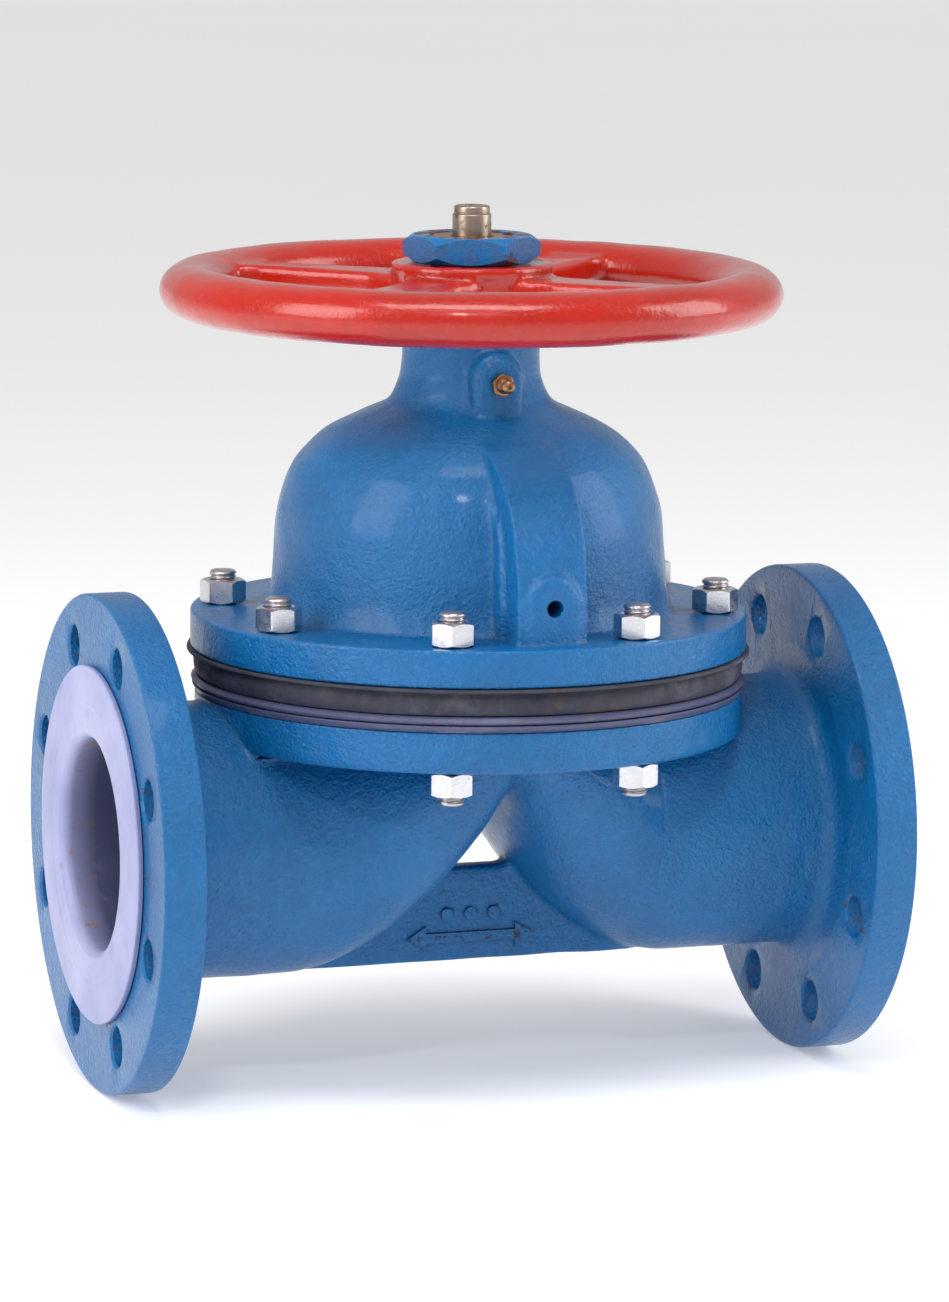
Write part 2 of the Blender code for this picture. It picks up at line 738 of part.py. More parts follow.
def make_bonnet():
    throat = (
        (STEM_PASSAGE_RADIUS, 0.1825),
        (STEM_PASSAGE_RADIUS, ORING_GROOVE[0]),
        (ORING_GROOVE_RADIUS, ORING_GROOVE[0]),
        (ORING_GROOVE_RADIUS, ORING_GROOVE[1]),
        (STEM_PASSAGE_RADIUS, ORING_GROOVE[1]),
        (STEM_PASSAGE_RADIUS, NECK_FLOOR),
        (NECK_BORE_RADIUS, NECK_FLOOR),
        (NECK_BORE_RADIUS, NECK_TOP),
    )
    inside = BELL_INSIDE[1:] + throat
    foot = ((BELL_INSIDE[0][0], BONNET_BOTTOM), (BELL_OUTSIDE[0][0], BONNET_BOTTOM))
    outline = foot + BELL_OUTSIDE + tuple(reversed(inside))
    bonnet = turn(outline, 36, "bonnet")
    flange = ring(BELL_INSIDE[0][0] + 0.004, BONNET_FLANGE_RADIUS, BONNET_BOTTOM,
                  BONNET_FLANGE_TOP, 48)
    flange.data.transform(Matrix.Rotation(math.radians(0.9), 4, "Z"))
    join(bonnet, flange)
    for side in (-1, 1):
        join(bonnet, make_rib(side))
    join(bonnet, arched_block(VENT_BOSS_HALF_WIDTH, 0.090, 0.1160, 0.100, VENT_BOSS_FRONT))
    join(bonnet, arched_block(GREASE_BOSS_HALF_WIDTH, 0.1885, 0.2040, 0.026, GREASE_BOSS_FRONT))
    cut(bonnet, bell_cavity())
    for side in (-1, 1):
        low, high = sorted((side * 0.050, side * GUIDE_SLOT_DEPTH))
        half = GUIDE_SLOT_HALF_WIDTH
        cut(bonnet, box((-half, low, 0.07), (half, high, GUIDE_SLOT_TOP)))
    vent = along_y(cylinder(VENT_RADIUS, -0.13, -0.085, 12))
    cut(bonnet, move(vent, Matrix.Translation((0, 0, VENT_HEIGHT))))
    grease = along_y(cylinder(GREASE_HOLE_RADIUS, -0.05, -0.020, 12))
    cut(bonnet, move(grease, Matrix.Translation((0, 0, GREASE_HEIGHT))))
    cut(bonnet, holes(bonnet_bolts(), BOLT_CLEARANCE_RADIUS, 0.07, 0.11))
    return finish_piece(bonnet, "blue_paint")


def make_grease_nipple():
    """Hexagon, cone and ball tip, with the shank in the neck's grease hole."""
    front = GREASE_BOSS_FRONT
    shank = (
        (0.0, front - 0.010),
        (0.0029, front - 0.010),
        (0.0029, front + 0.004),
        (0.0034, front + 0.0055),
        (0.0022, front + 0.0080),
        (0.0031, front + 0.0095),
        (0.0024, front + 0.0112),
        (0.0, front + 0.0116),
    )
    nipple = turn(shank, 12, "grease_nipple")
    join(nipple, cylinder(0.0052, front + GAP, front + 0.0038, 6))
    along_y(nipple)
    move(nipple, Matrix.Rotation(math.pi, 4, "Z"))
    move(nipple, Matrix.Translation((0, 0, GREASE_HEIGHT)))
    return finish_piece(nipple, "brass")


def make_spoke():
    """Flat arm from the hub to the rim, along +X."""
    sections = []
    rim_middle = WHEEL_RADIUS - RIM_WIDTH / 2
    for share in (0.0, 0.5, 1.0):
        x = WHEEL_HUB_RADIUS - 0.006 + share * (rim_middle - WHEEL_HUB_RADIUS + 0.006)
        half = SPOKE_HALF_WIDTH_AT_HUB + share * (SPOKE_HALF_WIDTH_AT_RIM - SPOKE_HALF_WIDTH_AT_HUB)
        bevel = 0.003
        bottom = SPOKE_TOP - SPOKE_DEPTH
        outline = ((half, bottom + bevel), (half, SPOKE_TOP - bevel), (half - bevel, SPOKE_TOP),
                   (bevel - half, SPOKE_TOP), (-half, SPOKE_TOP - bevel), (-half, bottom + bevel),
                   (bevel - half, bottom), (half - bevel, bottom))
        sections.append([(x, y, z) for y, z in outline])
    return loft(sections)


def make_handwheel():
    rim_middle = WHEEL_RADIUS - RIM_WIDTH / 2
    rim_height = 0.5 * (RIM_TOP + RIM_BOTTOM)
    outline = []
    for step in range(12):
        angle = 2 * math.pi * step / 12
        outline.append((rim_middle + RIM_WIDTH / 2 * math.cos(angle),
                        rim_height + 0.5 * (RIM_TOP - RIM_BOTTOM) * math.sin(angle)))
    wheel = turn(outline, 48, "handwheel")
    hub_outline = (
        (0.0, WHEEL_HUB_BOTTOM),
        (WHEEL_HUB_RADIUS - 0.002, WHEEL_HUB_BOTTOM),
        (WHEEL_HUB_RADIUS, WHEEL_HUB_BOTTOM + 0.002),
        (WHEEL_HUB_RADIUS, WHEEL_HUB_TOP - 0.002),
        (WHEEL_HUB_RADIUS - 0.002, WHEEL_HUB_TOP),
        (0.0, WHEEL_HUB_TOP),
    )
    hub = turn(hub_outline, 32)
    for index in range(SPOKE_COUNT):
        angle = SPOKE_ANGLE + 2 * math.pi * index / SPOKE_COUNT
        join(hub, move(make_spoke(), Matrix.Rotation(angle, 4, "Z")))
    join(wheel, hub)
    cut(wheel, cylinder(SLEEVE_RADIUS + GAP, 0.2, 0.3, 28))
    half = KEY_HALF_WIDTH + GAP
    cut(wheel, box((0.0, -half, 0.2), (KEY_OUTER + GAP, half, 0.3)))
    return finish_piece(wheel, "red_paint")


def make_handwheel_key():
    low = (KEY_INNER, -KEY_HALF_WIDTH, WHEEL_HUB_BOTTOM + 0.0010)
    high = (KEY_OUTER, KEY_HALF_WIDTH, WHEEL_HUB_TOP - 0.0010)
    return finish_piece(box(low, high, "handwheel_key"), "steel")


def hex_nut(across_flats, bottom, top, bore, name, bore_segments=12, turned=0.0):
    """Plain hexagon nut; turned is its rotation about its own axis."""
    corner = across_flats / math.sqrt(3)
    outline = []
    for index in range(6):
        angle = turned + math.pi / 6 + math.pi / 3 * index
        outline.append((corner * math.cos(angle), corner * math.sin(angle)))
    nut = extrude(outline, bottom, top, "XY", name)
    return cut(nut, cylinder(bore, bottom - 0.01, top + 0.01, bore_segments))


def make_locknut():
    nut = hex_nut(LOCKNUT_ACROSS_FLATS, LOCKNUT_BOTTOM, LOCKNUT_TOP, SLEEVE_RADIUS + GAP,
                  "handwheel_locknut", 28, LOCKNUT_TURN)
    return finish_piece(nut, "blue_paint")


def make_stud(name, bottom, top):
    inner = STUD_RADIUS - STUD_CHAMFER
    outline = (
        (0.0, bottom),
        (inner, bottom),
        (STUD_RADIUS, bottom + STUD_CHAMFER),
        (STUD_RADIUS, top - STUD_CHAMFER),
        (inner, top),
        (0.0, top),
    )
    return turn(outline, 12, name)


def make_bonnet_fasteners():
    """Studs with a nut on top, and a nut underneath where they pass through."""
    top_seat = BONNET_FLANGE_TOP + GAP
    stud_top = top_seat + NUT_HEIGHT + STUD_PROTRUSION
    lower_top = BODY_FLANGE_BOTTOM - GAP
    lower_count = 0
    for index, place in enumerate(bonnet_bolts(), start=1):
        passes = is_through_bolt(place)
        low = lower_top - NUT_HEIGHT - STUD_PROTRUSION if passes else TAPPED_HOLE_BOTTOM + 0.0005
        spot = Matrix.Translation((place[0], place[1], 0))
        turned = math.radians(17.0 * index)
        stud = make_stud("bonnet_stud_%d" % index, low, stud_top)
        finish_piece(move(stud, spot), "zinc")
        nut = hex_nut(NUT_ACROSS_FLATS, top_seat, top_seat + NUT_HEIGHT, TAPPED_RADIUS,
                      "top_nut_%d" % index, 12, turned)
        finish_piece(move(nut, spot), "zinc")
        if passes:
            lower_count += 1
            nut = hex_nut(NUT_ACROSS_FLATS, lower_top - NUT_HEIGHT, lower_top, TAPPED_RADIUS,
                          "bottom_nut_%d" % lower_count, 12, turned)
            finish_piece(move(nut, spot), "zinc")


def main():
    clear_scene()
    make_body()
    make_lining()
    make_diaphragm_face()
    make_diaphragm_backing()
    make_diaphragm_stud()
    make_compressor()
    make_compressor_pin()
    make_stem()
    make_sleeve_nut()
    make_thrust_washers()
    make_bearing_retainer()
    make_dust_seal()
    make_stem_oring()
    make_bonnet()
    make_grease_nipple()
    make_handwheel()
    make_handwheel_key()
    make_locknut()
    make_bonnet_fasteners()


main()
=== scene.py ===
"""Visual model of a lined DN100 diaphragm valve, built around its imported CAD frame.

Metres, +Z up along the stem and +X along the pipe, in the same frame as the CAD.
"""
import math

import bmesh
import bpy
import numpy as np
from mathutils import Matrix, Vector, noise


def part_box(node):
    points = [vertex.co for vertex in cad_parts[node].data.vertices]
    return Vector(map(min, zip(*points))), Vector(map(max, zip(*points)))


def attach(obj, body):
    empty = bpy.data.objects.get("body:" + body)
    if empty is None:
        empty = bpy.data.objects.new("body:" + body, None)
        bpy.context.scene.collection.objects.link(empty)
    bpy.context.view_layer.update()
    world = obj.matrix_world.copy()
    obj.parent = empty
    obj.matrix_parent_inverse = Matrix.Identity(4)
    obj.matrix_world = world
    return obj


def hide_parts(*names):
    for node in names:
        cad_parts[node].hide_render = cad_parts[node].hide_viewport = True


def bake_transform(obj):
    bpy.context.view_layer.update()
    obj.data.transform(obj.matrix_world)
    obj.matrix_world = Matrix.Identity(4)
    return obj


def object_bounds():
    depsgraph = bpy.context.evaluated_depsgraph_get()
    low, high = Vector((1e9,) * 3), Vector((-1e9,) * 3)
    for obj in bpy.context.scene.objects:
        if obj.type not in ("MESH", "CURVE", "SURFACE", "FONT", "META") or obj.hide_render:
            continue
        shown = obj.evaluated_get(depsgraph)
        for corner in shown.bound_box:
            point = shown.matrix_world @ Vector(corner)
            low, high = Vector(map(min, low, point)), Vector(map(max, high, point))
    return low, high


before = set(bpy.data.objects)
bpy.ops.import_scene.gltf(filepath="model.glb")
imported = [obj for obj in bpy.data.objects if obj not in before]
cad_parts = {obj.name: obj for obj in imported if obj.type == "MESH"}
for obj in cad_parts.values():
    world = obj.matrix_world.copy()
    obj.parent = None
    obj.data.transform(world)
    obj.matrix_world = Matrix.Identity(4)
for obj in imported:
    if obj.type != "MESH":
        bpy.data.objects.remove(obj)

CAD_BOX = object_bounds()
HOUSING = "valve_housing"
WHEEL_BODY = "handwheel_assembly"
STEM_BODY = "stem_assembly"
GAP = 0.0003


def low(node):
    """Height of the bottom of a CAD node."""
    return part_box(node)[0].z


def high(node):
    """Height of the top of a CAD node."""
    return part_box(node)[1].z


def reach(node):
    """How far a CAD node goes along +X, which is the radius of a round one."""
    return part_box(node)[1].x


# Sizes taken from the frame.
METAL_FACE = reach("valve_body")
LINED_FACE = reach("body_lining")
END_RADIUS = -low("valve_body")
BODY_FLANGE_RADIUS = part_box("valve_body")[1].y
BODY_FLANGE_BOTTOM = high("bottom_nut_1") + GAP
LINING_TOP = low("diaphragm_face") - GAP
BODY_FLANGE_TOP = LINING_TOP - 0.0030 - GAP
SOFT_RADIUS = reach("diaphragm_backing")
FACE_SHEET_BOTTOM = low("diaphragm_face")
FACE_SHEET_TOP = low("diaphragm_backing") - GAP
FACE_SHEET_CROWN = high("diaphragm_face")
BACKING_CROWN = high("diaphragm_backing")
BONNET_BOTTOM = low("bonnet")
BONNET_RADIUS = reach("bonnet")
BONNET_FLANGE_TOP = low("top_nut_1") - GAP
NECK_TOP = high("bonnet")
NUT_HEIGHT = high("top_nut_1") - low("top_nut_1")
STUD_TOP = high("bonnet_stud_1")
LOCKNUT_BOTTOM = low("handwheel_locknut")
LOCKNUT_TOP = high("handwheel_locknut")
WHEEL_RADIUS = reach("handwheel")
RIM_BOTTOM = low("handwheel")
WHEEL_TOP = high("handwheel")
STEM_TOP = high("stem")
STEM_BOTTOM = low("stem")

# End flanges and pipe run.
END_THICKNESS = 0.019
END_BOLT_CIRCLE = 0.090
END_HOLE_RADIUS = 0.009
PIPE_RADIUS = 0.061
NECK_FILLET = 0.009
RAISED_RADIUS = 0.079
FACE_STEP_RADIUS = 0.0620
BORE_RADIUS = 0.0465
MOUTH_FLARE = 0.0055
MOUTH_DEPTH = 0.012
LINING_THICKNESS = 0.0032
LINING_GAP = 0.0011
CAVITY_WALL = LINING_THICKNESS + LINING_GAP

# One row per station on one side of the weir:
# distance from the weir, floor, half width, height of the widest point, roof.
PASSAGE = (
    (0.000, 0.0280, 0.0690, 0.0555, 0.0578),
    (0.006, 0.0255, 0.0686, 0.0530, 0.0575),
    (0.012, 0.0175, 0.0680, 0.0485, 0.0570),
    (0.020, 0.0040, 0.0665, 0.0415, 0.0565),
    (0.030, -0.0105, 0.0640, 0.0330, 0.0555),
    (0.039, -0.0210, 0.0610, 0.0250, 0.0535),
    (0.050, -0.0310, 0.0570, 0.0160, 0.0510),
    (0.064, -0.0400, 0.0515, 0.0070, 0.0480),
    (0.086, -0.0465, 0.0465, 0.0000, 0.0465),
    (0.150, -0.0465, 0.0465, 0.0000, 0.0465),
)
# Outside of the casting: distance from the weir, underside, half width.
CASTING = (
    (0.0000, 0.0160, 0.0830),
    (0.0035, 0.0100, 0.0828),
    (0.0090, -0.0020, 0.0823),
    (0.0196, -0.0180, 0.0810),
    (0.0300, -0.0310, 0.0785),
    (0.0420, -0.0410, 0.0750),
    (0.0580, -0.0520, 0.0690),
    (0.0845, -0.0610, 0.0610),
    (0.1600, -0.0610, 0.0610),
)
CHAMBER_HALF_LENGTH = 0.080
CHAMBER_HALF_WIDTH = 0.067
WEB_HALF_THICKNESS = 0.006
WEB_HALF_LENGTH = 0.078
WEB_TOP = -0.018
MARK_RAISE = 0.0014
ARROW_HEIGHT = -0.0500
ARROW_HALF_LENGTH = 0.030
ARROW_HEAD = 0.0090
ARROW_STROKE = 0.0022
PIP_RADIUS = 0.0030
PIP_SPACING = 0.011

# Bonnet joint.
BOLT_CIRCLE = 0.1095
BOLT_COUNT = 8
CLEARANCE_RADIUS = 0.00675
STUD_RADIUS = 0.006
STUD_PITCH = 0.00175
NUT_ACROSS_FLATS = 0.018
FLEX_RADIUS = 0.066
STUD_HEAD_HEIGHT = 0.0062
STUD_SHANK_RADIUS = 0.0053

# Bonnet bell, radius and height, outside then inside.
BELL_OUTSIDE = (
    (0.0915, 0.0975),
    (0.0880, 0.1070),
    (0.0867, 0.1245),
    (0.0857, 0.1390),
    (0.0835, 0.1490),
    (0.0797, 0.1596),
    (0.0740, 0.1684),
    (0.0638, 0.1774),
    (0.0490, 0.1850),
    (0.0378, 0.1900),
    (0.0338, 0.1950),
    (0.0311, 0.2022),
)
NECK_RADIUS = 0.0305
BELL_INSIDE = (
    (0.0785, 0.1390),
    (0.0765, 0.1470),
    (0.0718, 0.1565),
    (0.0648, 0.1650),
    (0.0545, 0.1720),
    (0.0390, 0.1782),
    (0.0200, 0.1820),
)
RIB_HALF_WIDTH = 0.016
RIB_OUTLINE = (
    (0.1120, 0.0920),
    (0.1115, 0.1100),
    (0.1095, 0.1300),
    (0.1055, 0.1450),
    (0.0985, 0.1570),
    (0.0885, 0.1665),
    (0.0760, 0.1735),
    (0.0640, 0.1782),
    (0.0560, 0.1800),
)
RIB_FOOT_STEP = 0.0160
RIB_FOOT_EXTRA = 0.0022
GUIDE_SLOT_HALF_WIDTH = 0.0055
GUIDE_SLOT_DEPTH = 0.0930
GUIDE_SLOT_TOP = 0.1480
VENT_HEIGHT = 0.114
VENT_RADIUS = 0.00375
GREASE_HEIGHT = 0.202
GREASE_HOLE_RADIUS = 0.0033
# Pads on the front: half width, bottom, centre of the round top, back, front.
PADS = (
    (0.0100, 0.0900, 0.1160, 0.100, 0.1139),
    (0.0122, 0.0900, 0.1160, 0.100, 0.1127),
    (0.0095, 0.1885, 0.2040, 0.026, 0.0408),
    (0.0116, 0.1875, 0.2040, 0.026, 0.0378),
)
ORING_GROOVE_RADIUS = 0.0123
ORING_GROOVE = (0.1860, 0.1900)
NECK_FLOOR = 0.197
NECK_BORE_RADIUS = 0.024

# Stem.
STEM_RADIUS = 0.009
STEM_PITCH = 0.004
STEM_THREAD_BOTTOM = 0.1480
STEM_PLAIN_LENGTH = 0.0148
STEM_STEP = 0.0038

NIPPLE_LENGTH = 0.0116

# Handwheel.
RIM_WIDTH = 0.029
HUB_RADIUS = 0.0335
SPOKE_TOP = 0.2460
SPOKE_DEPTH = 0.012
SPOKE_HALF_WIDTH_AT_HUB = 0.0135
SPOKE_HALF_WIDTH_AT_RIM = 0.0105
SPOKE_FLARE = 0.0045
SPOKE_FLARE_LENGTH = 0.012
HUB_LIP = 0.0022
SLEEVE_RADIUS = 0.018
LOCKNUT_ACROSS_FLATS = 0.053
LOCKNUT_TURN = math.radians(-109.7)

CASTING_VOXEL = 0.0016
FINE_VOXEL = 0.0013


# Mesh tools.

def mesh_piece(name, points, faces):
    """Closed solid from points and faces, with its faces turned outwards."""
    mesh = bpy.data.meshes.new(name)
    mesh.from_pydata([tuple(point) for point in points], [], faces)
    edit = bmesh.new()
    edit.from_mesh(mesh)
    bmesh.ops.remove_doubles(edit, verts=edit.verts, dist=1e-7)
    bmesh.ops.recalc_face_normals(edit, faces=edit.faces)
    edit.to_mesh(mesh)
    edit.free()
    item = bpy.data.objects.new(name, mesh)
    bpy.context.scene.collection.objects.link(item)
    return item


def settle(item):
    """Writes what the modifiers make into the piece's own mesh."""
    bpy.context.view_layer.update()
    graph = bpy.context.evaluated_depsgraph_get()
    result = bpy.data.meshes.new_from_object(item.evaluated_get(graph))
    item.modifiers.clear()
    item.data = result
    return item


def combine(target, operation, *tools):
    """Joins, cuts or intersects the target with each tool, which is used up."""
    for tool in tools:
        modifier = target.modifiers.new("combine", "BOOLEAN")
        modifier.operation = operation
        modifier.object = tool
        modifier.solver = "MANIFOLD"
        settle(target)
        bpy.data.objects.remove(tool, do_unlink=True)
    return target


def join(target, *tools):
    return combine(target, "UNION", *tools)


def cut(target, *tools):
    return combine(target, "DIFFERENCE", *tools)


def merge(name, items):
    """One mesh out of several, which are used up."""
    points = []
    faces = []
    for item in items:
        base = len(points)
        points.extend(vertex.co.copy() for vertex in item.data.vertices)
        faces.extend([base + index for index in face.vertices] for face in item.data.polygons)
        bpy.data.objects.remove(item, do_unlink=True)
    return mesh_piece(name, points, faces)


def cast(name, items, voxel, passes):
    """One casting out of overlapping solids, with the soft edges and fillets of a mould."""
    item = merge(name, items)
    remesh = item.modifiers.new("remesh", "REMESH")
    remesh.mode = "VOXEL"
    remesh.voxel_size = voxel
    soften = item.modifiers.new("soften", "SMOOTH")
    soften.factor = 0.5
    soften.iterations = passes
    return settle(item)


def undulate(item, depth, size, seed):
    """Slightly uneven surface, as sand leaves it."""
    offset = Vector((seed * 3.1, seed * 1.7, seed * 0.9))
    count = len(item.data.vertices)
    places = np.zeros(count * 3)
    normals = np.zeros(count * 3)
    item.data.vertices.foreach_get("co", places)
    item.data.vertices.foreach_get("normal", normals)
    places = places.reshape(-1, 3)
    waves = [noise.noise(Vector(place) / size + offset) for place in places]
    places += normals.reshape(-1, 3) * depth * np.array(waves)[:, None]
    item.data.vertices.foreach_set("co", places.ravel())
    item.data.update()
    return item


def rounded(outline, steps=5):
    """Closed outline in which each corner given with a radius becomes a curve."""
    result = []
    for index, corner in enumerate(outline):
        place = Vector(corner[:2])
        if len(corner) < 3:
            result.append(place)
            continue
        back = Vector(outline[index - 1][:2]) - place
        ahead = Vector(outline[(index + 1) % len(outline)][:2]) - place
        start = place + back.normalized() * min(corner[2], 0.49 * back.length)
        end = place + ahead.normalized() * min(corner[2], 0.49 * ahead.length)
        for step in range(steps + 1):
            share = step / steps
            result.append(start.lerp(place, share).lerp(place.lerp(end, share), share))
    return result


def smooth_rows(rows, steps):
    """Rows of numbers with rows placed smoothly between them."""
    rows = [np.array(row, float) for row in rows]
    padded = [2 * rows[0] - rows[1]] + rows + [2 * rows[-1] - rows[-2]]
    result = []
    for before, start, end, after in zip(padded, padded[1:], padded[2:], padded[3:]):
        for step in range(steps):
            share = step / steps
            straight = 2 * start + (end - before) * share
            bend = (2 * before - 5 * start + 4 * end - after) * share ** 2
            twist = (3 * start - before - 3 * end + after) * share ** 3
            result.append(0.5 * (straight + bend + twist))
    result.append(rows[-1])
    return result


def turned(name, outline, segments=144):
    """Solid turned about Z from a closed outline of (radius, height, corner radius)."""
    points = []
    rings = []
    for radius, height in rounded(outline):
        if radius < 1e-6:
            rings.append([len(points)] * segments)
            points.append((0.0, 0.0, height))
            continue
        rings.append(list(range(len(points), len(points) + segments)))
        for step in range(segments):
            angle = 2 * math.pi * step / segments
            points.append((radius * math.cos(angle), radius * math.sin(angle), height))
    faces = []
    for index, ring in enumerate(rings):
        following = rings[(index + 1) % len(rings)]
        for step in range(segments):
            after = (step + 1) % segments
            corners = (ring[step], ring[after], following[after], following[step])
            face = list(dict.fromkeys(corners))
            if len(face) > 2:
                faces.append(face)
    return mesh_piece(name, points, faces)


def disc(name, radius, bottom, top, edge=0.0, segments=144):
    """Solid disc about Z, with its rim edges rounded where edge isn't 0."""
    rounding = (edge,) if edge else ()
    rim = ((radius, bottom) + rounding, (radius, top) + rounding)
    return turned(name, ((0.0, bottom),) + rim + ((0.0, top),), segments)


def move(item, matrix):
    item.data.transform(matrix)
    return item


def shift(item, x=0.0, y=0.0, z=0.0):
    return move(item, Matrix.Translation((x, y, z)))


def spin(item, angle):
    return move(item, Matrix.Rotation(angle, 4, "Z"))


def along_x(item, side=1):
    """Lays a piece built about Z along the pipe, with its top towards the given side."""
    return move(item, Matrix.Rotation(side * math.pi / 2, 4, "Y"))


def to_front(item):
    """Lays a piece built about Z along Y, with its top towards -Y."""
    return move(item, Matrix.Rotation(math.pi / 2, 4, "X"))


def loft(name, sections):
    """Solid through closed sections that have the same number of points."""
    count = len(sections[0])
    points = [point for section in sections for point in section]
    faces = [list(range(count)), list(range(len(points) - count, len(points)))]
    for index in range(len(sections) - 1):
        base = index * count
        for step in range(count):
            after = (step + 1) % count
            faces.append([base + step, base + after, base + count + after, base + count + step])
    return mesh_piece(name, points, faces)


def prism(name, outline, start, end, plane="XY"):
    """Straight solid on a flat outline; plane names the axes the outline lies in."""
    normal = ({"X", "Y", "Z"} - set(plane)).pop()
    sections = []
    for level in (start, end):
        section = []
        for first, second in rounded(outline):
            place = {plane[0]: first, plane[1]: second, normal: level}
            section.append((place["X"], place["Y"], place["Z"]))
        sections.append(section)
    return loft(name, sections)


def bolt_circle(radius, count):
    """Points on a bolt circle about Z, none of them on the X or Y axis."""
    for index in range(count):
        angle = 2 * math.pi * (index + 0.5) / count
        yield radius * math.cos(angle), radius * math.sin(angle)


def bonnet_bolts():
    return list(bolt_circle(BOLT_CIRCLE, BOLT_COUNT))


def is_through_bolt(place):
    """The bolts clear of the pipe pass right through; the others are tapped in."""
    return abs(place[1]) > abs(place[0])


def drills(places, radius, bottom, top, bevel=0.0006):
    """Cutters for round holes whose two mouths are slightly widened."""
    flare = 0.004
    outline = ((0.0, bottom - flare), (radius + bevel + flare, bottom - flare),
               (radius, bottom + bevel), (radius, top - bevel),
               (radius + bevel + flare, top + flare), (0.0, top + flare))
    tools = [shift(turned("drill", outline, 48), x, y) for x, y in places]
    return merge("drills", tools)


def spiral_rod(name, radius, bottom, top, pitch, depth, spans, ends):
    """Rod about Z with a thread cut into the given height spans and chamfered ends."""
    segments = 32
    levels = []
    for span_low, span_high in spans:
        count = int((span_high - span_low) / pitch * 7)
        levels += list(np.linspace(span_low, span_high, count))
    levels = sorted(set([bottom + ends, top - ends] + levels))
    points = [(0.0, 0.0, bottom)]
    radii = [(bottom, radius - ends)] + [(level, radius) for level in levels]
    radii.append((top, radius - ends))
    for height, outer in radii:
        cut_here = any(start + 1e-6 < height < stop - 1e-6 for start, stop in spans)
        for step in range(segments):
            angle = 2 * math.pi * step / segments
            phase = (height / pitch - step / segments) % 1.0
            groove = depth * (1.0 - abs(2.0 * phase - 1.0)) if cut_here else 0.0
            across = outer - min(groove, depth * 0.85)
            points.append((across * math.cos(angle), across * math.sin(angle), height))
    points.append((0.0, 0.0, top))
    faces = []
    for step in range(segments):
        after = (step + 1) % segments
        faces.append([0, 1 + after, 1 + step])
        last = 1 + (len(radii) - 1) * segments
        faces.append([len(points) - 1, last + step, last + after])
        for index in range(len(radii) - 1):
            base = 1 + index * segments
            faces.append([base + step, base + after, base + segments + after,
                          base + segments + step])
    return mesh_piece(name, points, faces)


# Node materials.

class Finish:
    """One material's node tree, with short calls for the nodes it is built from."""

    def __init__(self, name, roughness=0.5, metallic=0.0):
        self.material = bpy.data.materials.new(name)
        self.material.use_nodes = True
        self.nodes = self.material.node_tree.nodes
        self.links = self.material.node_tree.links
        self.shader = self.nodes["Principled BSDF"]
        self.shader.inputs["Roughness"].default_value = roughness
        self.shader.inputs["Metallic"].default_value = metallic
        self.place = self.nodes.new("ShaderNodeTexCoord").outputs["Object"]
        self.point = self.nodes.new("ShaderNodeNewGeometry").outputs["Pointiness"]

    def feed(self, socket, value):
        """Links a socket, or sets it where the value is a plain one."""
        if isinstance(value, bpy.types.NodeSocket):
            self.links.new(value, socket)
        else:
            socket.default_value = value

    def set(self, name, value):
        self.feed(self.shader.inputs[name], value)

    def noise(self, scale, detail=3.0, rough=0.55, stretch=None, distortion=0.0):
        """Cloudy value from 0 to 1; scale is in clouds per metre."""
        node = self.nodes.new("ShaderNodeTexNoise")
        node.inputs["Scale"].default_value = scale
        node.inputs["Detail"].default_value = detail
        node.inputs["Roughness"].default_value = rough
        node.inputs["Distortion"].default_value = distortion
        self.links.new(self.stretched(stretch) if stretch else self.place, node.inputs["Vector"])
        return node.outputs[0]

    def cells(self, scale):
        """Distance to the nearest of many scattered points."""
        node = self.nodes.new("ShaderNodeTexVoronoi")
        node.inputs["Scale"].default_value = scale
        self.links.new(self.place, node.inputs["Vector"])
        return node.outputs["Distance"]

    def stretched(self, factors):
        node = self.nodes.new("ShaderNodeMapping")
        node.inputs["Scale"].default_value = factors
        self.links.new(self.place, node.inputs["Vector"])
        return node.outputs["Vector"]

    def axis(self, name):
        """One of the row frame's coordinates, in metres."""
        node = self.nodes.new("ShaderNodeSeparateXYZ")
        self.links.new(self.place, node.inputs["Vector"])
        return node.outputs[name]

    def span(self, value, start, end, first=0.0, last=1.0):
        """Value remapped from start..end to first..last, and held at both."""
        node = self.nodes.new("ShaderNodeMapRange")
        node.inputs["From Min"].default_value = start
        node.inputs["From Max"].default_value = end
        node.inputs["To Min"].default_value = first
        node.inputs["To Max"].default_value = last
        self.links.new(value, node.inputs["Value"])
        return node.outputs["Result"]

    def math(self, operation, first, second=0.0):
        node = self.nodes.new("ShaderNodeMath")
        node.operation = operation
        self.feed(node.inputs[0], first)
        self.feed(node.inputs[1], second)
        return node.outputs["Value"]

    def times(self, first, second):
        return self.math("MULTIPLY", first, second)

    def blend(self, factor, first, second):
        """Colour between two others."""
        node = self.nodes.new("ShaderNodeMix")
        node.data_type = "RGBA"
        self.feed(node.inputs[0], factor)
        self.feed(node.inputs[6], first)
        self.feed(node.inputs[7], second)
        return node.outputs[2]

    def relief(self, *layers):
        """Bump from layers of (height, depth in metres), laid over each other."""
        normal = None
        for height, depth in layers:
            node = self.nodes.new("ShaderNodeBump")
            node.inputs["Distance"].default_value = depth
            self.links.new(height, node.inputs["Height"])
            if normal:
                self.links.new(normal, node.inputs["Normal"])
            normal = node.outputs["Normal"]
        self.links.new(normal, self.shader.inputs["Normal"])


def shade(red, green, blue):
    """Linear colour from screen values of 0 to 255."""
    values = []
    for value in (red, green, blue):
        value /= 255.0
        values.append(value / 12.92 if value <= 0.04045 else ((value + 0.055) / 1.055) ** 2.4)
    return (*values, 1.0)


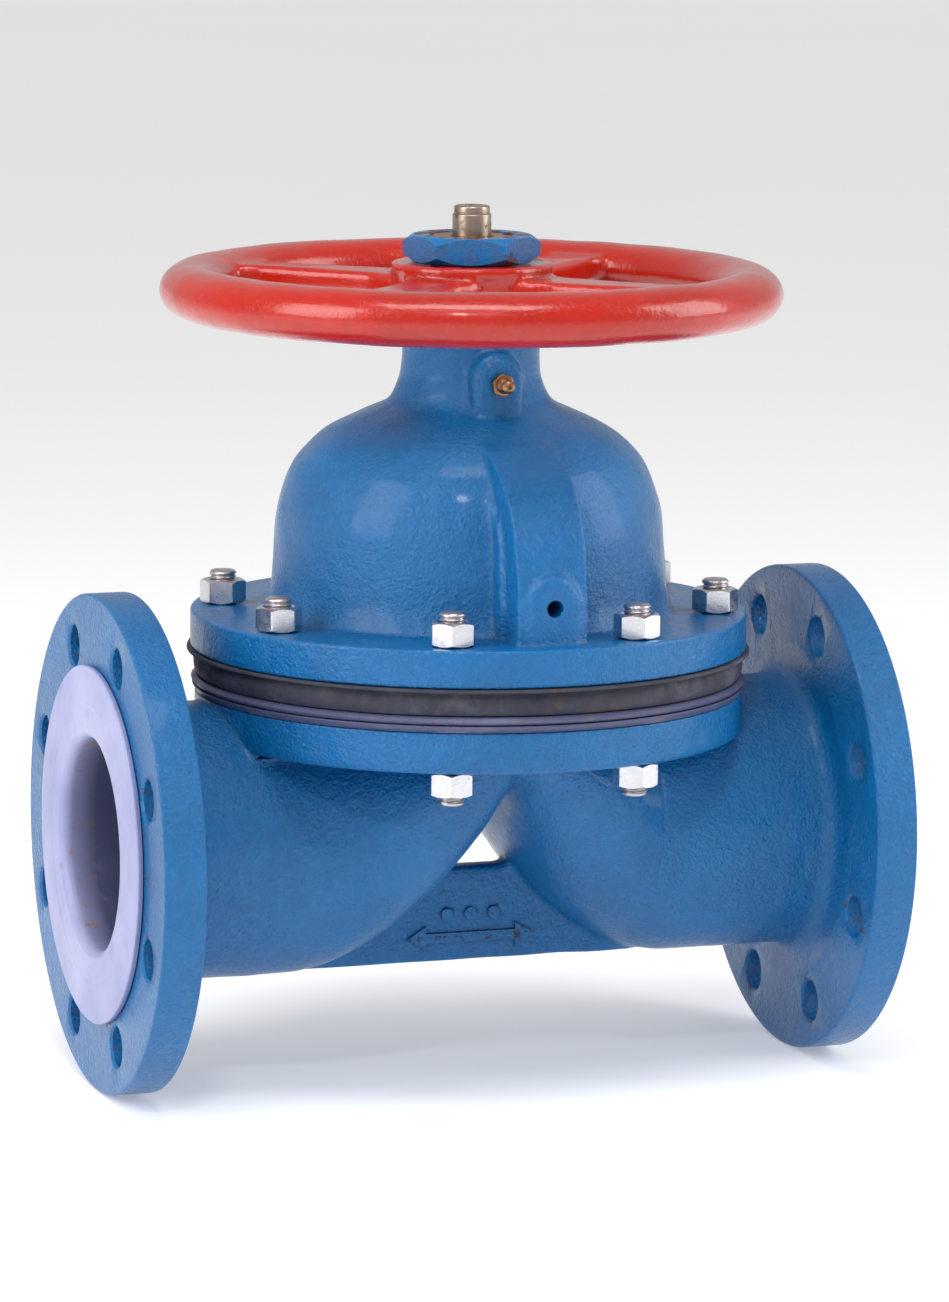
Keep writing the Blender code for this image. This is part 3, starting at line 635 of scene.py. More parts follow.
BLUE = shade(0, 98, 158)
BLUE_LIGHT = shade(0, 112, 174)
BLUE_DARK = shade(0, 60, 106)
RED = shade(176, 24, 4)
RED_DARK = shade(128, 20, 2)
RED_ORANGE = shade(184, 42, 4)
RUST = shade(112, 62, 34)
RUST_DARK = shade(58, 36, 26)
SOOT = shade(24, 28, 36)


def enamel(name, main, light, dark, peel, chips, gloss=0.24, coat=0.16):
    """Enamel over rough cast iron, with painted shade in its hollows: peel is the relief's depth,
    chips the share of worn edge.
    """
    paint = Finish(name)
    clouds = paint.noise(14.0, 4.0)
    thin = paint.span(clouds, 0.55, 0.30, 0.0, 0.35)
    colour = paint.blend(thin, main, dark)
    patches = paint.span(paint.noise(240.0, 5.0, 0.6), 0.50, 0.72, 0.0, 0.45)
    colour = paint.blend(patches, colour, light)
    # Painted shade: the paint turns towards the dark blue in hollows and creases, found from the
    # mesh's pointiness.
    hollows = paint.span(paint.point, 0.488, 0.45)
    colour = paint.blend(paint.times(hollows, 0.75), colour, dark)
    specks = paint.times(paint.span(paint.cells(420.0), 0.16, 0.07),
                        paint.span(paint.noise(70.0), 0.56, 0.64))
    colour = paint.blend(paint.times(specks, 0.8), colour, SOOT)
    edges = paint.span(paint.point, 0.525, 0.60)
    broken = paint.span(paint.noise(160.0, 6.0, 0.7), 0.60 - chips, 0.66 - chips)
    wear = paint.times(edges, broken)
    rust = paint.blend(paint.noise(500.0, 4.0), RUST_DARK, RUST)
    colour = paint.blend(wear, colour, rust)
    paint.set("Base Color", colour)
    smear = paint.span(paint.noise(38.0, 5.0), 0.3, 0.7, gloss - 0.06, gloss + 0.10)
    paint.set("Roughness", paint.math("ADD", smear, paint.times(wear, 0.4)))
    paint.set("Specular IOR Level", 0.36)
    paint.set("Coat Weight", coat)
    paint.set("Coat Roughness", 0.12)
    sand = paint.noise(620.0, 3.0, 0.6)
    waves = paint.noise(170.0, 2.0)
    paint.relief((waves, peel * 3.0), (sand, peel * 4.0), (specks, -peel), (wear, -0.0004))
    return paint.material


def fluoropolymer(name):
    """Milky, waxy lining with faint grey handling marks and paint dust near its rim, and painted shade
    that darkens it from the end faces into the bore.
    """
    paint = Finish(name)
    milk = paint.blend(paint.span(paint.noise(16.0, 5.0), 0.35, 0.7),
                       shade(140, 144, 186), shade(168, 170, 206))
    # Painted shade: the lining is blended towards a dark grey-violet from 1 mm to 16 mm in from the
    # end faces, and stays dark everywhere nearer the middle, in place of the shade inside the bore.
    along = paint.math("ABSOLUTE", paint.axis("X"))
    inside = paint.span(along, LINED_FACE - 0.001, LINED_FACE - 0.016)
    milk = paint.blend(inside, milk, shade(72, 76, 108))
    smudge = paint.span(paint.noise(42.0, 6.0, 0.65, distortion=0.6), 0.55, 0.78)
    colour = paint.blend(paint.times(smudge, 0.45), milk, shade(124, 124, 158))
    edges = paint.span(paint.point, 0.53, 0.60)
    stained = paint.times(edges, paint.span(paint.noise(120.0, 6.0, 0.7), 0.52, 0.62))
    colour = paint.blend(paint.times(stained, 0.7), colour, shade(140, 104, 82))
    dust = paint.times(paint.span(paint.cells(300.0), 0.13, 0.05),
                      paint.span(paint.noise(30.0), 0.58, 0.68))
    colour = paint.blend(dust, colour, shade(70, 100, 150))
    paint.set("Base Color", colour)
    paint.set("Roughness", paint.span(paint.noise(60.0, 4.0), 0.3, 0.7, 0.34, 0.52))
    paint.set("Subsurface Weight", 0.12)
    paint.set("Subsurface Radius", (0.004, 0.003, 0.004))
    paint.set("Subsurface Scale", 0.5)
    turning = paint.noise(900.0, 2.0, 0.5, stretch=(1.0, 0.06, 0.06))
    paint.relief((paint.noise(70.0, 3.0), 0.00025), (turning, 0.00003))
    return paint.material


def rubber(name):
    """Moulded rubber with chalky dust and rust run down from the bolts."""
    paint = Finish(name)
    colour = paint.blend(paint.noise(90.0, 5.0), shade(30, 32, 44), shade(58, 60, 76))
    chalk = paint.span(paint.noise(36.0, 6.0, 0.7), 0.52, 0.75)
    colour = paint.blend(paint.times(chalk, 0.5), colour, shade(112, 110, 124))
    stain = paint.span(paint.noise(26.0, 4.0, 0.6), 0.60, 0.72)
    colour = paint.blend(paint.times(stain, 0.55), colour, shade(120, 84, 60))
    paint.set("Base Color", colour)
    paint.set("Roughness", paint.span(paint.noise(120.0, 4.0), 0.3, 0.7, 0.55, 0.85))
    fibres = paint.noise(520.0, 4.0, 0.6, stretch=(1.0, 1.0, 0.35))
    paint.relief((paint.noise(150.0, 3.0), 0.0004), (fibres, 0.0002))
    return paint.material


def bare_metal(name, main, stain, roughness, grain, stained):
    """Bare or plated metal: grain is the tool marks' depth, stained how much has tarnished."""
    paint = Finish(name, metallic=1.0)
    shaded = tuple(0.78 * channel for channel in main[:3]) + (1.0,)
    tone = paint.blend(paint.noise(240.0, 4.0, 0.6), shaded, main)
    tarnish = paint.span(paint.noise(170.0, 6.0, 0.7), 0.72 - stained, 0.86 - stained)
    hollows = paint.span(paint.point, 0.49, 0.44)
    tarnish = paint.math("MAXIMUM", tarnish, paint.times(hollows, 0.6))
    paint.set("Base Color", paint.blend(tarnish, tone, stain))
    paint.set("Metallic", paint.span(tarnish, 0.0, 1.0, 1.0, 0.35))
    dull = paint.span(paint.noise(90.0, 5.0), 0.3, 0.7, roughness - 0.06, roughness + 0.10)
    paint.set("Roughness", paint.math("ADD", dull, paint.times(tarnish, 0.3)))
    paint.relief((paint.noise(1500.0, 3.0, 0.6), grain), (paint.noise(320.0, 3.0), grain * 2.0))
    return paint.material


def finished(item, material, body, slot, *nodes, angle=38.0):
    """Gives a piece its material, smooth and sharp edges and body, and hides the CAD nodes it stands
    for; slot is not used.
    """
    item.data.materials.clear()
    item.data.materials.append(material)
    item.data.shade_smooth()
    item.data.set_sharp_from_angle(angle=math.radians(angle))
    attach(item, body)
    if nodes:
        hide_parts(*nodes)
    return item


def even_normals(item):
    """Keeps large flat faces flat next to their rounded edges."""
    modifier = item.modifiers.new("even_normals", "WEIGHTED_NORMAL")
    modifier.keep_sharp = True
    modifier.weight = 90
    return settle(item)


# Flow passage.

def mirrored(rows):
    """Rows on both sides of the weir, from -X to +X."""
    other = [(-row[0],) + tuple(row[1:]) for row in reversed(rows[1:])]
    return other + [tuple(row) for row in rows]


def offset_rows(rows, distance):
    """Passage rows grown outwards by a distance square to the floor."""
    grown = []
    for index, (x, floor, width, centre, roof) in enumerate(rows):
        before = rows[max(index - 1, 0)]
        after = rows[min(index + 1, len(rows) - 1)]
        run = after[0] - before[0] if index else 1.0
        rise = after[1] - before[1] if index else 0.0
        length = math.hypot(run, rise)
        grown.append((x + distance * rise / length, floor - distance * run / length,
                      width + distance, centre, roof + distance))
    return grown


def section(row, count=72):
    x, floor, width, centre, roof = row
    points = []
    for step in range(count):
        angle = 2 * math.pi * step / count
        rise = roof - centre if math.sin(angle) > 0 else centre - floor
        points.append((x, width * math.cos(angle), centre + rise * math.sin(angle)))
    return points


def trough(row, top, count=48):
    """Section with the passage's floor and straight walls up to a height."""
    x, floor, width, centre, _ = row
    points = [(x, width, top), (x, -width, top)]
    for step in range(count + 1):
        angle = math.pi * (1 + step / count)
        points.append((x, width * math.cos(angle), centre + (centre - floor) * math.sin(angle)))
    return points


def cavity(distance, end, top):
    """The flow passage and the oval chamber over the weir, grown by a distance."""
    grown = offset_rows(PASSAGE, distance)
    grown.append((end,) + tuple(grown[-1][1:]))
    rows = smooth_rows(mirrored(grown), 3)
    passage = loft("cavity", [section(row) for row in rows])
    walls = loft("walls", [trough(row, top) for row in rows[6:-6]])
    oval = disc("oval", 1.0, -0.1, top - 0.0001)
    lengths = (CHAMBER_HALF_LENGTH + distance, CHAMBER_HALF_WIDTH + distance)
    move(oval, Matrix.Diagonal((lengths[0], lengths[1], 1.0, 1.0)))
    combine(walls, "INTERSECT", oval)
    return join(passage, walls)


# Body.

def casting_shell():
    stations = [row[0] for row in PASSAGE]
    centres = [row[3] for row in PASSAGE]
    rows = [(x, floor, width, float(np.interp(x, stations, centres)), BODY_FLANGE_TOP - 0.001)
            for x, floor, width in CASTING]
    return loft("shell", [section(row) for row in smooth_rows(mirrored(rows), 3)])


def end_neck(side):
    """Filleted neck that runs from the barrel into an end flange."""
    back = METAL_FACE - END_THICKNESS
    foot = PIPE_RADIUS + NECK_FILLET
    outline = ((0.0, back - 0.016), (PIPE_RADIUS - 0.001, back - 0.016),
               (PIPE_RADIUS, back - 0.012),
               (PIPE_RADIUS + 0.0008, back, NECK_FILLET), (foot + 0.010, back - 0.0003),
               (foot + 0.010, back + 0.012), (0.0, back + 0.012))
    return along_x(turned("neck", outline), side)


def web_plate():
    """Thin wall under the weir that ties the two ends of the barrel together."""
    half = WEB_HALF_THICKNESS
    outline = ((-WEB_HALF_LENGTH, -PIPE_RADIUS), (WEB_HALF_LENGTH, -PIPE_RADIUS),
               (WEB_HALF_LENGTH, WEB_TOP), (-WEB_HALF_LENGTH, WEB_TOP))
    return prism("web", outline, -half, half, "XZ")


def web_mark(side):
    """Raised arrow with two heads and a row of round pips on a face of the web."""
    front = WEB_HALF_THICKNESS + MARK_RAISE
    back = WEB_HALF_THICKNESS - 0.002
    outline = []
    for way in (1, -1):
        inner = way * (ARROW_HALF_LENGTH - ARROW_HEAD)
        outline += [(inner, -way * ARROW_STROKE), (inner, -way * ARROW_HEAD * 0.62),
                    (way * ARROW_HALF_LENGTH, 0.0), (inner, way * ARROW_HEAD * 0.62),
                    (inner, way * ARROW_STROKE)]
    outline = [(x, ARROW_HEIGHT + z) for x, z in outline]
    items = [prism("arrow", outline, -front, -back, "XZ")]
    for index in (-1, 0, 1):
        pip = to_front(disc("pip", PIP_RADIUS, back, front, 0.0005, 24))
        items.append(shift(pip, index * PIP_SPACING, 0.0, ARROW_HEIGHT + 0.0105))
    return [spin(item, math.pi if side > 0 else 0.0) for item in items]


def end_flange(side):
    back = METAL_FACE - END_THICKNESS
    outline = ((0.0, back), (PIPE_RADIUS + NECK_FILLET + 0.006, back), (END_RADIUS - 0.004, back),
               (END_RADIUS, back, 0.0016), (END_RADIUS, METAL_FACE, 0.0013),
               (END_RADIUS - 0.004, METAL_FACE), (RAISED_RADIUS + 0.002, METAL_FACE),
               (0.0, METAL_FACE))
    return along_x(turned("end_flange", outline, 192), side)


def body_flange():
    radius = BODY_FLANGE_RADIUS
    outline = ((0.0, BODY_FLANGE_BOTTOM), (radius - 0.006, BODY_FLANGE_BOTTOM),
               (radius, BODY_FLANGE_BOTTOM, 0.0035), (radius, BODY_FLANGE_TOP, 0.0010),
               (radius - 0.004, BODY_FLANGE_TOP), (0.0, BODY_FLANGE_TOP))
    return turned("body_flange", outline, 192)


def build_body():
    rough = [casting_shell(), web_plate(), end_neck(1), end_neck(-1)]
    rough.append(disc("flange_root", BODY_FLANGE_RADIUS - 0.0015, BODY_FLANGE_BOTTOM + 0.0004,
                      BODY_FLANGE_TOP - 0.0010))
    body = cast("valve_body_casting", rough, CASTING_VOXEL, 10)
    undulate(body, 0.0005, 0.020, 1)
    join(body, end_flange(1), end_flange(-1), body_flange())
    join(body, *web_mark(-1), *web_mark(1))
    cut(body, cavity(CAVITY_WALL, LINED_FACE + 0.01, BODY_FLANGE_TOP + 0.01))
    for side in (1, -1):
        cut(body, along_x(drills(bolt_circle(END_BOLT_CIRCLE, 8), END_HOLE_RADIUS,
                                 METAL_FACE - END_THICKNESS, METAL_FACE, 0.0010), side))
    through = [place for place in bonnet_bolts() if is_through_bolt(place)]
    tapped = [place for place in bonnet_bolts() if not is_through_bolt(place)]
    cut(body, drills(through, CLEARANCE_RADIUS, BODY_FLANGE_BOTTOM, BODY_FLANGE_TOP))
    cut(body, drills(tapped, STUD_RADIUS + GAP, low("bonnet_stud_1"), BODY_FLANGE_TOP))
    even_normals(body)
    paint = enamel("cast_blue_body", BLUE, BLUE_LIGHT, BLUE_DARK, 0.00030, 0.05)
    return finished(body, paint, HOUSING, "blue_casting_paint", "valve_body")


# Lining and diaphragm.

def raised_face(side):
    """Ring of lining that wraps over the end flange, with a shallow moulded step."""
    foot = METAL_FACE + GAP
    sunk = LINED_FACE - 0.0003
    outline = ((0.0, foot), (RAISED_RADIUS - 0.0006, foot, 0.0004),
               (RAISED_RADIUS, LINED_FACE, 0.0012), (FACE_STEP_RADIUS, LINED_FACE, 0.0008),
               (FACE_STEP_RADIUS - 0.0008, sunk, 0.0008), (0.0, sunk))
    return along_x(turned("raised_face", outline, 160), side)


def bore_mouth(side):
    """Cutter for the soft trumpet where the bore meets the face."""
    start = LINED_FACE - MOUTH_DEPTH
    outline = [(0.0, start), (BORE_RADIUS - 0.0001, start)]
    for step in range(9):
        angle = math.pi / 2 * step / 8
        outline.append((BORE_RADIUS + MOUTH_FLARE * (1 - math.cos(angle)),
                        LINED_FACE - MOUTH_FLARE * (1 - math.sin(angle))))
    outline += [(BORE_RADIUS + MOUTH_FLARE + 0.0002, LINED_FACE + 0.002), (0.0, LINED_FACE + 0.002)]
    return along_x(turned("bore_mouth", outline, 96), side)


def build_lining(material):
    lining = cavity(LINING_THICKNESS, METAL_FACE + 0.001, BODY_FLANGE_TOP + 0.002)
    lining.name = "body_lining_moulding"
    edge = BODY_FLANGE_TOP + GAP
    rim = ((0.0, edge), (SOFT_RADIUS - 0.0012, edge), (SOFT_RADIUS + 0.0004, LINING_TOP, 0.0008),
           (0.0, LINING_TOP))
    join(lining, turned("rim", rim, 192), raised_face(1), raised_face(-1))
    cut(lining, cavity(0.0, LINED_FACE + 0.01, LINING_TOP + 0.01), bore_mouth(1), bore_mouth(-1))
    cut(lining, drills(bonnet_bolts(), CLEARANCE_RADIUS, edge, LINING_TOP))
    even_normals(lining)
    return finished(lining, material, HOUSING, "white_fluoropolymer", "body_lining")


def dome(share, rise):
    """Rise of the flexing middle, from 0 at the clamp to the full rise."""
    return rise * math.cos(math.pi / 2 * min(share, 1.0)) ** 2


def domed_sheet(name, bottom, top, rise_below, rise_above, rim):
    """Round sheet with a domed middle; rim is its edge, from the bottom to the top."""
    shares = [step / 14 for step in range(15)]
    below = [(share * FLEX_RADIUS, bottom + dome(share, rise_below)) for share in shares]
    above = [(share * FLEX_RADIUS, top + dome(share, rise_above)) for share in reversed(shares)]
    return turned(name, below + list(rim) + above, 192)


def build_face_sheet(material):
    bottom = FACE_SHEET_BOTTOM
    top = FACE_SHEET_TOP
    rise = FACE_SHEET_CROWN - top
    rim = ((SOFT_RADIUS - 0.0006, bottom, 0.0009), (SOFT_RADIUS + 0.0006, 0.5 * (bottom + top)),
           (SOFT_RADIUS - 0.0010, top, 0.0009))
    sheet = domed_sheet("diaphragm_face_sheet", bottom, top, rise, rise, rim)
    cut(sheet, drills(bonnet_bolts(), CLEARANCE_RADIUS, bottom, top))
    return flexing(sheet, material, "diaphragm_face")


def flexing(sheet, material, node):
    """Finishes a sheet whose rim is clamped: gives it its material and smooth and sharp edges, hides
    its CAD node and bakes its transform.
    """
    sheet.data.materials.clear()
    sheet.data.materials.append(material)
    sheet.data.shade_smooth()
    sheet.data.set_sharp_from_angle(angle=math.radians(38.0))
    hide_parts(node)
    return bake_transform(sheet)


def build_backing(material):
    bottom = FACE_SHEET_TOP + GAP
    top = BONNET_BOTTOM - GAP
    lip = top - 0.0016
    rise_below = FACE_SHEET_CROWN + GAP - bottom
    waist = SOFT_RADIUS - 0.0018
    rim = ((waist, bottom, 0.0008), (waist + 0.0012, bottom + 0.0030),
           (waist + 0.0014, bottom + 0.0058), (waist + 0.0002, bottom + 0.0084),
           (waist - 0.0004, lip, 0.0004),
           (SOFT_RADIUS + 0.0026, lip + 0.0002, 0.0005), (SOFT_RADIUS + 0.0024, top, 0.0005))
    sheet = domed_sheet("diaphragm_rubber", bottom, top, rise_below, BACKING_CROWN - top, rim)
    cut(sheet, drills(bonnet_bolts(), CLEARANCE_RADIUS, bottom, top))
    head_radius = reach("diaphragm_stud") + GAP
    head_top = low("diaphragm_stud") + STUD_HEAD_HEIGHT
    cut(sheet, disc("head_room", head_radius, 0.06, head_top, 0.0, 48),
        disc("shank_room", STUD_SHANK_RADIUS, 0.07, 0.09, 0.0, 32))
    return flexing(sheet, material, "diaphragm_backing")


# Bonnet.

def bell_solid():
    outline = [(0.0, BONNET_BOTTOM + 0.001), (BELL_OUTSIDE[0][0], BONNET_BOTTOM + 0.001)]
    outline += [tuple(row) for row in smooth_rows(BELL_OUTSIDE, 4)]
    outline += [(NECK_RADIUS, NECK_TOP - 0.015), (NECK_RADIUS, NECK_TOP - 0.0002),
                (0.0, NECK_TOP - 0.0002)]
    return turned("bell", outline)


def rib(side):
    """Outside of a guide rib, with a lower and wider step at its foot."""
    curve = [tuple(row) for row in smooth_rows(RIB_OUTLINE, 3)]
    outline = [(0.0560, 0.0920)] + curve
    front = [(side * y, z) for y, z in outline]
    foot = [(side * (y - RIB_FOOT_STEP), z - 0.004 * (z > 0.15)) for y, z in outline]
    foot_half = RIB_HALF_WIDTH + RIB_FOOT_EXTRA
    return [prism("rib", front, -RIB_HALF_WIDTH, RIB_HALF_WIDTH, "YZ"),
            prism("rib_foot", foot, -foot_half, foot_half, "YZ")]


def arched_pad(half_width, bottom, centre, back, front):
    """Pad on the -Y side with a round top."""
    outline = [(-half_width, bottom), (half_width, bottom)]
    for step in range(25):
        angle = math.pi * step / 24
        outline.append((half_width * math.cos(angle), centre + half_width * math.sin(angle)))
    return prism("pad", outline, -front, -back, "XZ")


def bonnet_cavity():
    inside = [tuple(row) for row in smooth_rows(BELL_INSIDE, 3)]
    outline = [(0.0, 0.07), (BELL_INSIDE[0][0], 0.07)] + inside + [(0.0, BELL_INSIDE[-1][1])]
    return turned("hollow", outline, 96)


def stem_throat():
    """Stem passage, ring groove and neck bore in one cutter."""
    groove_low, groove_high = ORING_GROOVE
    inner = STEM_RADIUS + 0.0006
    outline = ((0.0, 0.17), (inner, 0.17), (inner, groove_low), (ORING_GROOVE_RADIUS, groove_low),
               (ORING_GROOVE_RADIUS, groove_high), (inner, groove_high), (inner, NECK_FLOOR),
               (NECK_BORE_RADIUS, NECK_FLOOR), (NECK_BORE_RADIUS, NECK_TOP - 0.0012),
               (NECK_BORE_RADIUS + 0.004, NECK_TOP + 0.0028), (0.0, NECK_TOP + 0.0028))
    return turned("throat", outline, 64)


def guide_slot(side):
    half = GUIDE_SLOT_HALF_WIDTH
    outline = ((0.05, 0.07), (GUIDE_SLOT_DEPTH, 0.07), (GUIDE_SLOT_DEPTH, GUIDE_SLOT_TOP, 0.003),
               (0.05, GUIDE_SLOT_TOP))
    outline = [(side * corner[0],) + corner[1:] for corner in outline]
    return prism("guide_slot", outline, -half, half, "YZ")


def bonnet_ring():
    radius = BONNET_RADIUS
    outline = ((BELL_OUTSIDE[0][0] - 0.010, BONNET_BOTTOM), (radius, BONNET_BOTTOM, 0.0012),
               (radius, BONNET_FLANGE_TOP, 0.0016), (radius - 0.005, BONNET_FLANGE_TOP),
               (BELL_OUTSIDE[0][0] - 0.002, BONNET_FLANGE_TOP),
               (BELL_OUTSIDE[0][0] - 0.010, BONNET_FLANGE_TOP))
    return turned("bonnet_ring", outline, 192)


def build_bonnet():
    rough = [bell_solid()] + rib(-1) + rib(1)
    rough += [arched_pad(*pad) for pad in PADS]
    rough.append(disc("root", BONNET_RADIUS - 0.0015, BONNET_BOTTOM + 0.001,
                      BONNET_FLANGE_TOP - 0.0004))
    bonnet = cast("bonnet_casting", rough, FINE_VOXEL, 3)
    undulate(bonnet, 0.0004, 0.016, 2)
    join(bonnet, bonnet_ring())
    cut(bonnet, bonnet_cavity(), stem_throat(), guide_slot(1), guide_slot(-1))
    vent = to_front(disc("vent", VENT_RADIUS, 0.085, 0.13, 0.0, 32))
    grease = to_front(disc("grease", GREASE_HOLE_RADIUS, 0.020, 0.05, 0.0, 32))
    cut(bonnet, shift(vent, z=VENT_HEIGHT), shift(grease, z=GREASE_HEIGHT))
    cut(bonnet, drills(bonnet_bolts(), CLEARANCE_RADIUS, BONNET_BOTTOM, BONNET_FLANGE_TOP))
    even_normals(bonnet)
    paint = enamel("cast_blue_bonnet", BLUE, BLUE_LIGHT, BLUE_DARK, 0.00022, 0.03)
    return finished(bonnet, paint, HOUSING, "blue_casting_paint", "bonnet")


# Handwheel.

def wheel_rim():
    middle = WHEEL_RADIUS - RIM_WIDTH / 2
    top = WHEEL_TOP - 0.0010
    height = 0.5 * (top + RIM_BOTTOM)
    outline = []
    for step in range(40):
        angle = 2 * math.pi * step / 40
        outline.append((middle + RIM_WIDTH / 2 * math.cos(angle),
                        height + 0.5 * (top - RIM_BOTTOM) * math.sin(angle)))
    return turned("rim", outline, 192)


def spoke(angle):
    """Broad flat arm from the hub to the rim, widening where it meets both."""
    inner = HUB_RADIUS - 0.006
    outer = WHEEL_RADIUS - RIM_WIDTH / 2
    sections = []
    bottom = SPOKE_TOP - SPOKE_DEPTH
    for step in range(25):
        share = step / 24
        x = inner + share * (outer - inner)
        half = SPOKE_HALF_WIDTH_AT_HUB + share * (SPOKE_HALF_WIDTH_AT_RIM - SPOKE_HALF_WIDTH_AT_HUB)
        near_hub = max(0.0, 1.0 - (x - HUB_RADIUS) / SPOKE_FLARE_LENGTH) ** 2
        near_rim = max(0.0, 1.0 - (WHEEL_RADIUS - RIM_WIDTH - x) / SPOKE_FLARE_LENGTH) ** 2
        half += SPOKE_FLARE * min(near_hub, 1.0) + SPOKE_FLARE * min(near_rim, 1.0)
        outline = rounded(((half, bottom, 0.0035), (half, SPOKE_TOP, 0.0025),
                           (-half, SPOKE_TOP, 0.0025), (-half, bottom, 0.0035)), 4)
        sections.append([(x, y, z) for y, z in outline])
    return spin(loft("spoke", sections), angle)


def wheel_hub():
    bottom = low("handwheel_key") - 0.0010
    outline = ((0.0, bottom), (HUB_RADIUS - 0.0004, bottom, 0.0015),
               (HUB_RADIUS, WHEEL_TOP - 0.0060), (HUB_RADIUS + HUB_LIP, WHEEL_TOP - 0.0035, 0.0010),
               (HUB_RADIUS + HUB_LIP, WHEEL_TOP, 0.0012), (0.0, WHEEL_TOP))
    return turned("hub", outline)


def build_handwheel():
    rough = [wheel_rim(), wheel_hub()]
    rough += [spoke(math.radians(45.0 + 90.0 * index)) for index in range(4)]
    wheel = cast("handwheel_casting", rough, FINE_VOXEL * 1.1, 7)
    undulate(wheel, 0.0003, 0.018, 3)
    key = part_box("handwheel_key")
    bore = disc("bore", SLEEVE_RADIUS + GAP, 0.2, 0.3, 0.0, 96)
    keyway = prism("keyway", ((0.0, key[0].y - GAP), (key[1].x + GAP, key[0].y - GAP),
                              (key[1].x + GAP, key[1].y + GAP), (0.0, key[1].y + GAP)), 0.2, 0.3)
    seat = disc("seat", HUB_RADIUS - 0.0010, LOCKNUT_BOTTOM - GAP, LOCKNUT_BOTTOM + 0.01)
    cut(wheel, bore, keyway, seat)
    even_normals(wheel)
    paint = enamel("cast_red_wheel", RED, RED_ORANGE, RED_DARK, 0.00008, 0.0, 0.13, 0.50)
    return finished(wheel, paint, WHEEL_BODY, "red_wheel_paint", "handwheel")


# Nuts, studs, stem and the small parts.

def hexagon(name, across_flats, bottom, top, bore, chamfer, angle=0.0):
    """Hexagon nut with turned chamfers on both faces and a countersunk bore."""
    corner = across_flats / math.sqrt(3)
    outline = []
    for index in range(6):
        turn = angle + math.pi / 6 + math.pi / 3 * index
        outline.append((corner * math.cos(turn), corner * math.sin(turn), 0.0006))
    nut = prism(name, outline, bottom - 0.001, top + 0.001)
    flat = across_flats / 2 - 0.0004
    slope = (corner - flat) * math.tan(chamfer)
    cone = ((0.0, bottom), (flat, bottom, 0.0004), (corner + 0.001, bottom + slope * 1.5),
            (corner + 0.001, top - slope * 1.5), (flat, top, 0.0004), (0.0, top))
    combine(nut, "INTERSECT", turned("cone", cone, 96))
    sink = 0.0008
    hole = ((0.0, bottom - 0.002), (bore + sink + 0.002, bottom - 0.002), (bore, bottom + sink),
            (bore, top - sink), (bore + sink + 0.002, top + 0.002), (0.0, top + 0.002))
    return cut(nut, turned("hole", hole, 48))


def build_fasteners():
    zinc = bare_metal("zinc_plating", shade(226, 226, 232), shade(132, 96, 70), 0.24, 0.00006, 0.10)
    thread = bare_metal("zinc_stud", shade(206, 204, 208), shade(118, 82, 58), 0.30, 0.00006, 0.17)
    lower_count = 0
    pattern = hexagon("nut_pattern", NUT_ACROSS_FLATS, 0.0, NUT_HEIGHT, STUD_RADIUS + GAP,
                      math.radians(33.0))
    for index, (x, y) in enumerate(bonnet_bolts(), start=1):
        name = "bonnet_stud_%d" % index
        bottom = low(name)
        stud = spiral_rod(name + "_rod", STUD_RADIUS, bottom, STUD_TOP, STUD_PITCH, 0.0010,
                          ((bottom + 0.0012, bottom + 0.0190), (STUD_TOP - 0.0190, STUD_TOP - 0.0012)),
                          0.0010)
        finished(shift(stud, x, y), thread, HOUSING, "zinc_plated_steel", name, angle=60.0)
        seats = [("top_nut_%d" % index, low("top_nut_%d" % index))]
        if is_through_bolt((x, y)):
            lower_count += 1
            lower = "bottom_nut_%d" % lower_count
            seats.append((lower, low(lower)))
        for node, height in seats:
            nut = bpy.data.objects.new(node + "_hexagon", pattern.data.copy())
            bpy.context.scene.collection.objects.link(nut)
            shift(spin(nut, math.radians(17.0 * index)), x, y, height)
            finished(nut, zinc, HOUSING, "zinc_plated_steel", node, angle=24.0)
    bpy.data.objects.remove(pattern, do_unlink=True)


def build_locknut():
    nut = hexagon("handwheel_locknut_hexagon", LOCKNUT_ACROSS_FLATS, LOCKNUT_BOTTOM, LOCKNUT_TOP,
                  SLEEVE_RADIUS + GAP, math.radians(30.0), LOCKNUT_TURN)
    paint = enamel("blue_locknut", BLUE, BLUE_LIGHT, BLUE_DARK, 0.00010, 0.14)
    return finished(nut, paint, WHEEL_BODY, "blue_nut_paint", "handwheel_locknut", angle=24.0)


def build_stem():
    """Trapezoidal thread below a plain end with a step and a centre dimple."""
    plain = STEM_TOP - STEM_PLAIN_LENGTH
    rod = spiral_rod("stem_screw", STEM_RADIUS, STEM_BOTTOM, plain, STEM_PITCH, 0.0019,
                     ((STEM_THREAD_BOTTOM, plain - 0.0012),), 0.0006)
    radius = STEM_RADIUS - 0.0004
    tip = radius - 0.0007
    step = STEM_TOP - STEM_STEP
    outline = ((0.0, plain - 0.004), (radius - 0.002, plain - 0.004),
               (radius - 0.0016, plain - 0.0002), (radius, plain + 0.0006, 0.0003),
               (radius, step, 0.0004), (tip, step + 0.0003), (tip, STEM_TOP, 0.0012),
               (0.0024, STEM_TOP), (0.0, STEM_TOP - 0.0018))
    join(rod, turned("plain_end", outline, 64))
    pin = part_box("compressor_pin")
    height = 0.5 * (pin[0].z + pin[1].z)
    hole = along_x(disc("cross_hole", 0.5 * (pin[1].z - pin[0].z) + GAP, -0.03, 0.03, 0.0, 32))
    cut(rod, shift(hole, z=height))
    steel = bare_metal("stem_steel", shade(176, 160, 146), shade(92, 64, 46), 0.30, 0.00005, 0.20)
    return finished(rod, steel, STEM_BODY, "stem_steel", "stem", angle=50.0)


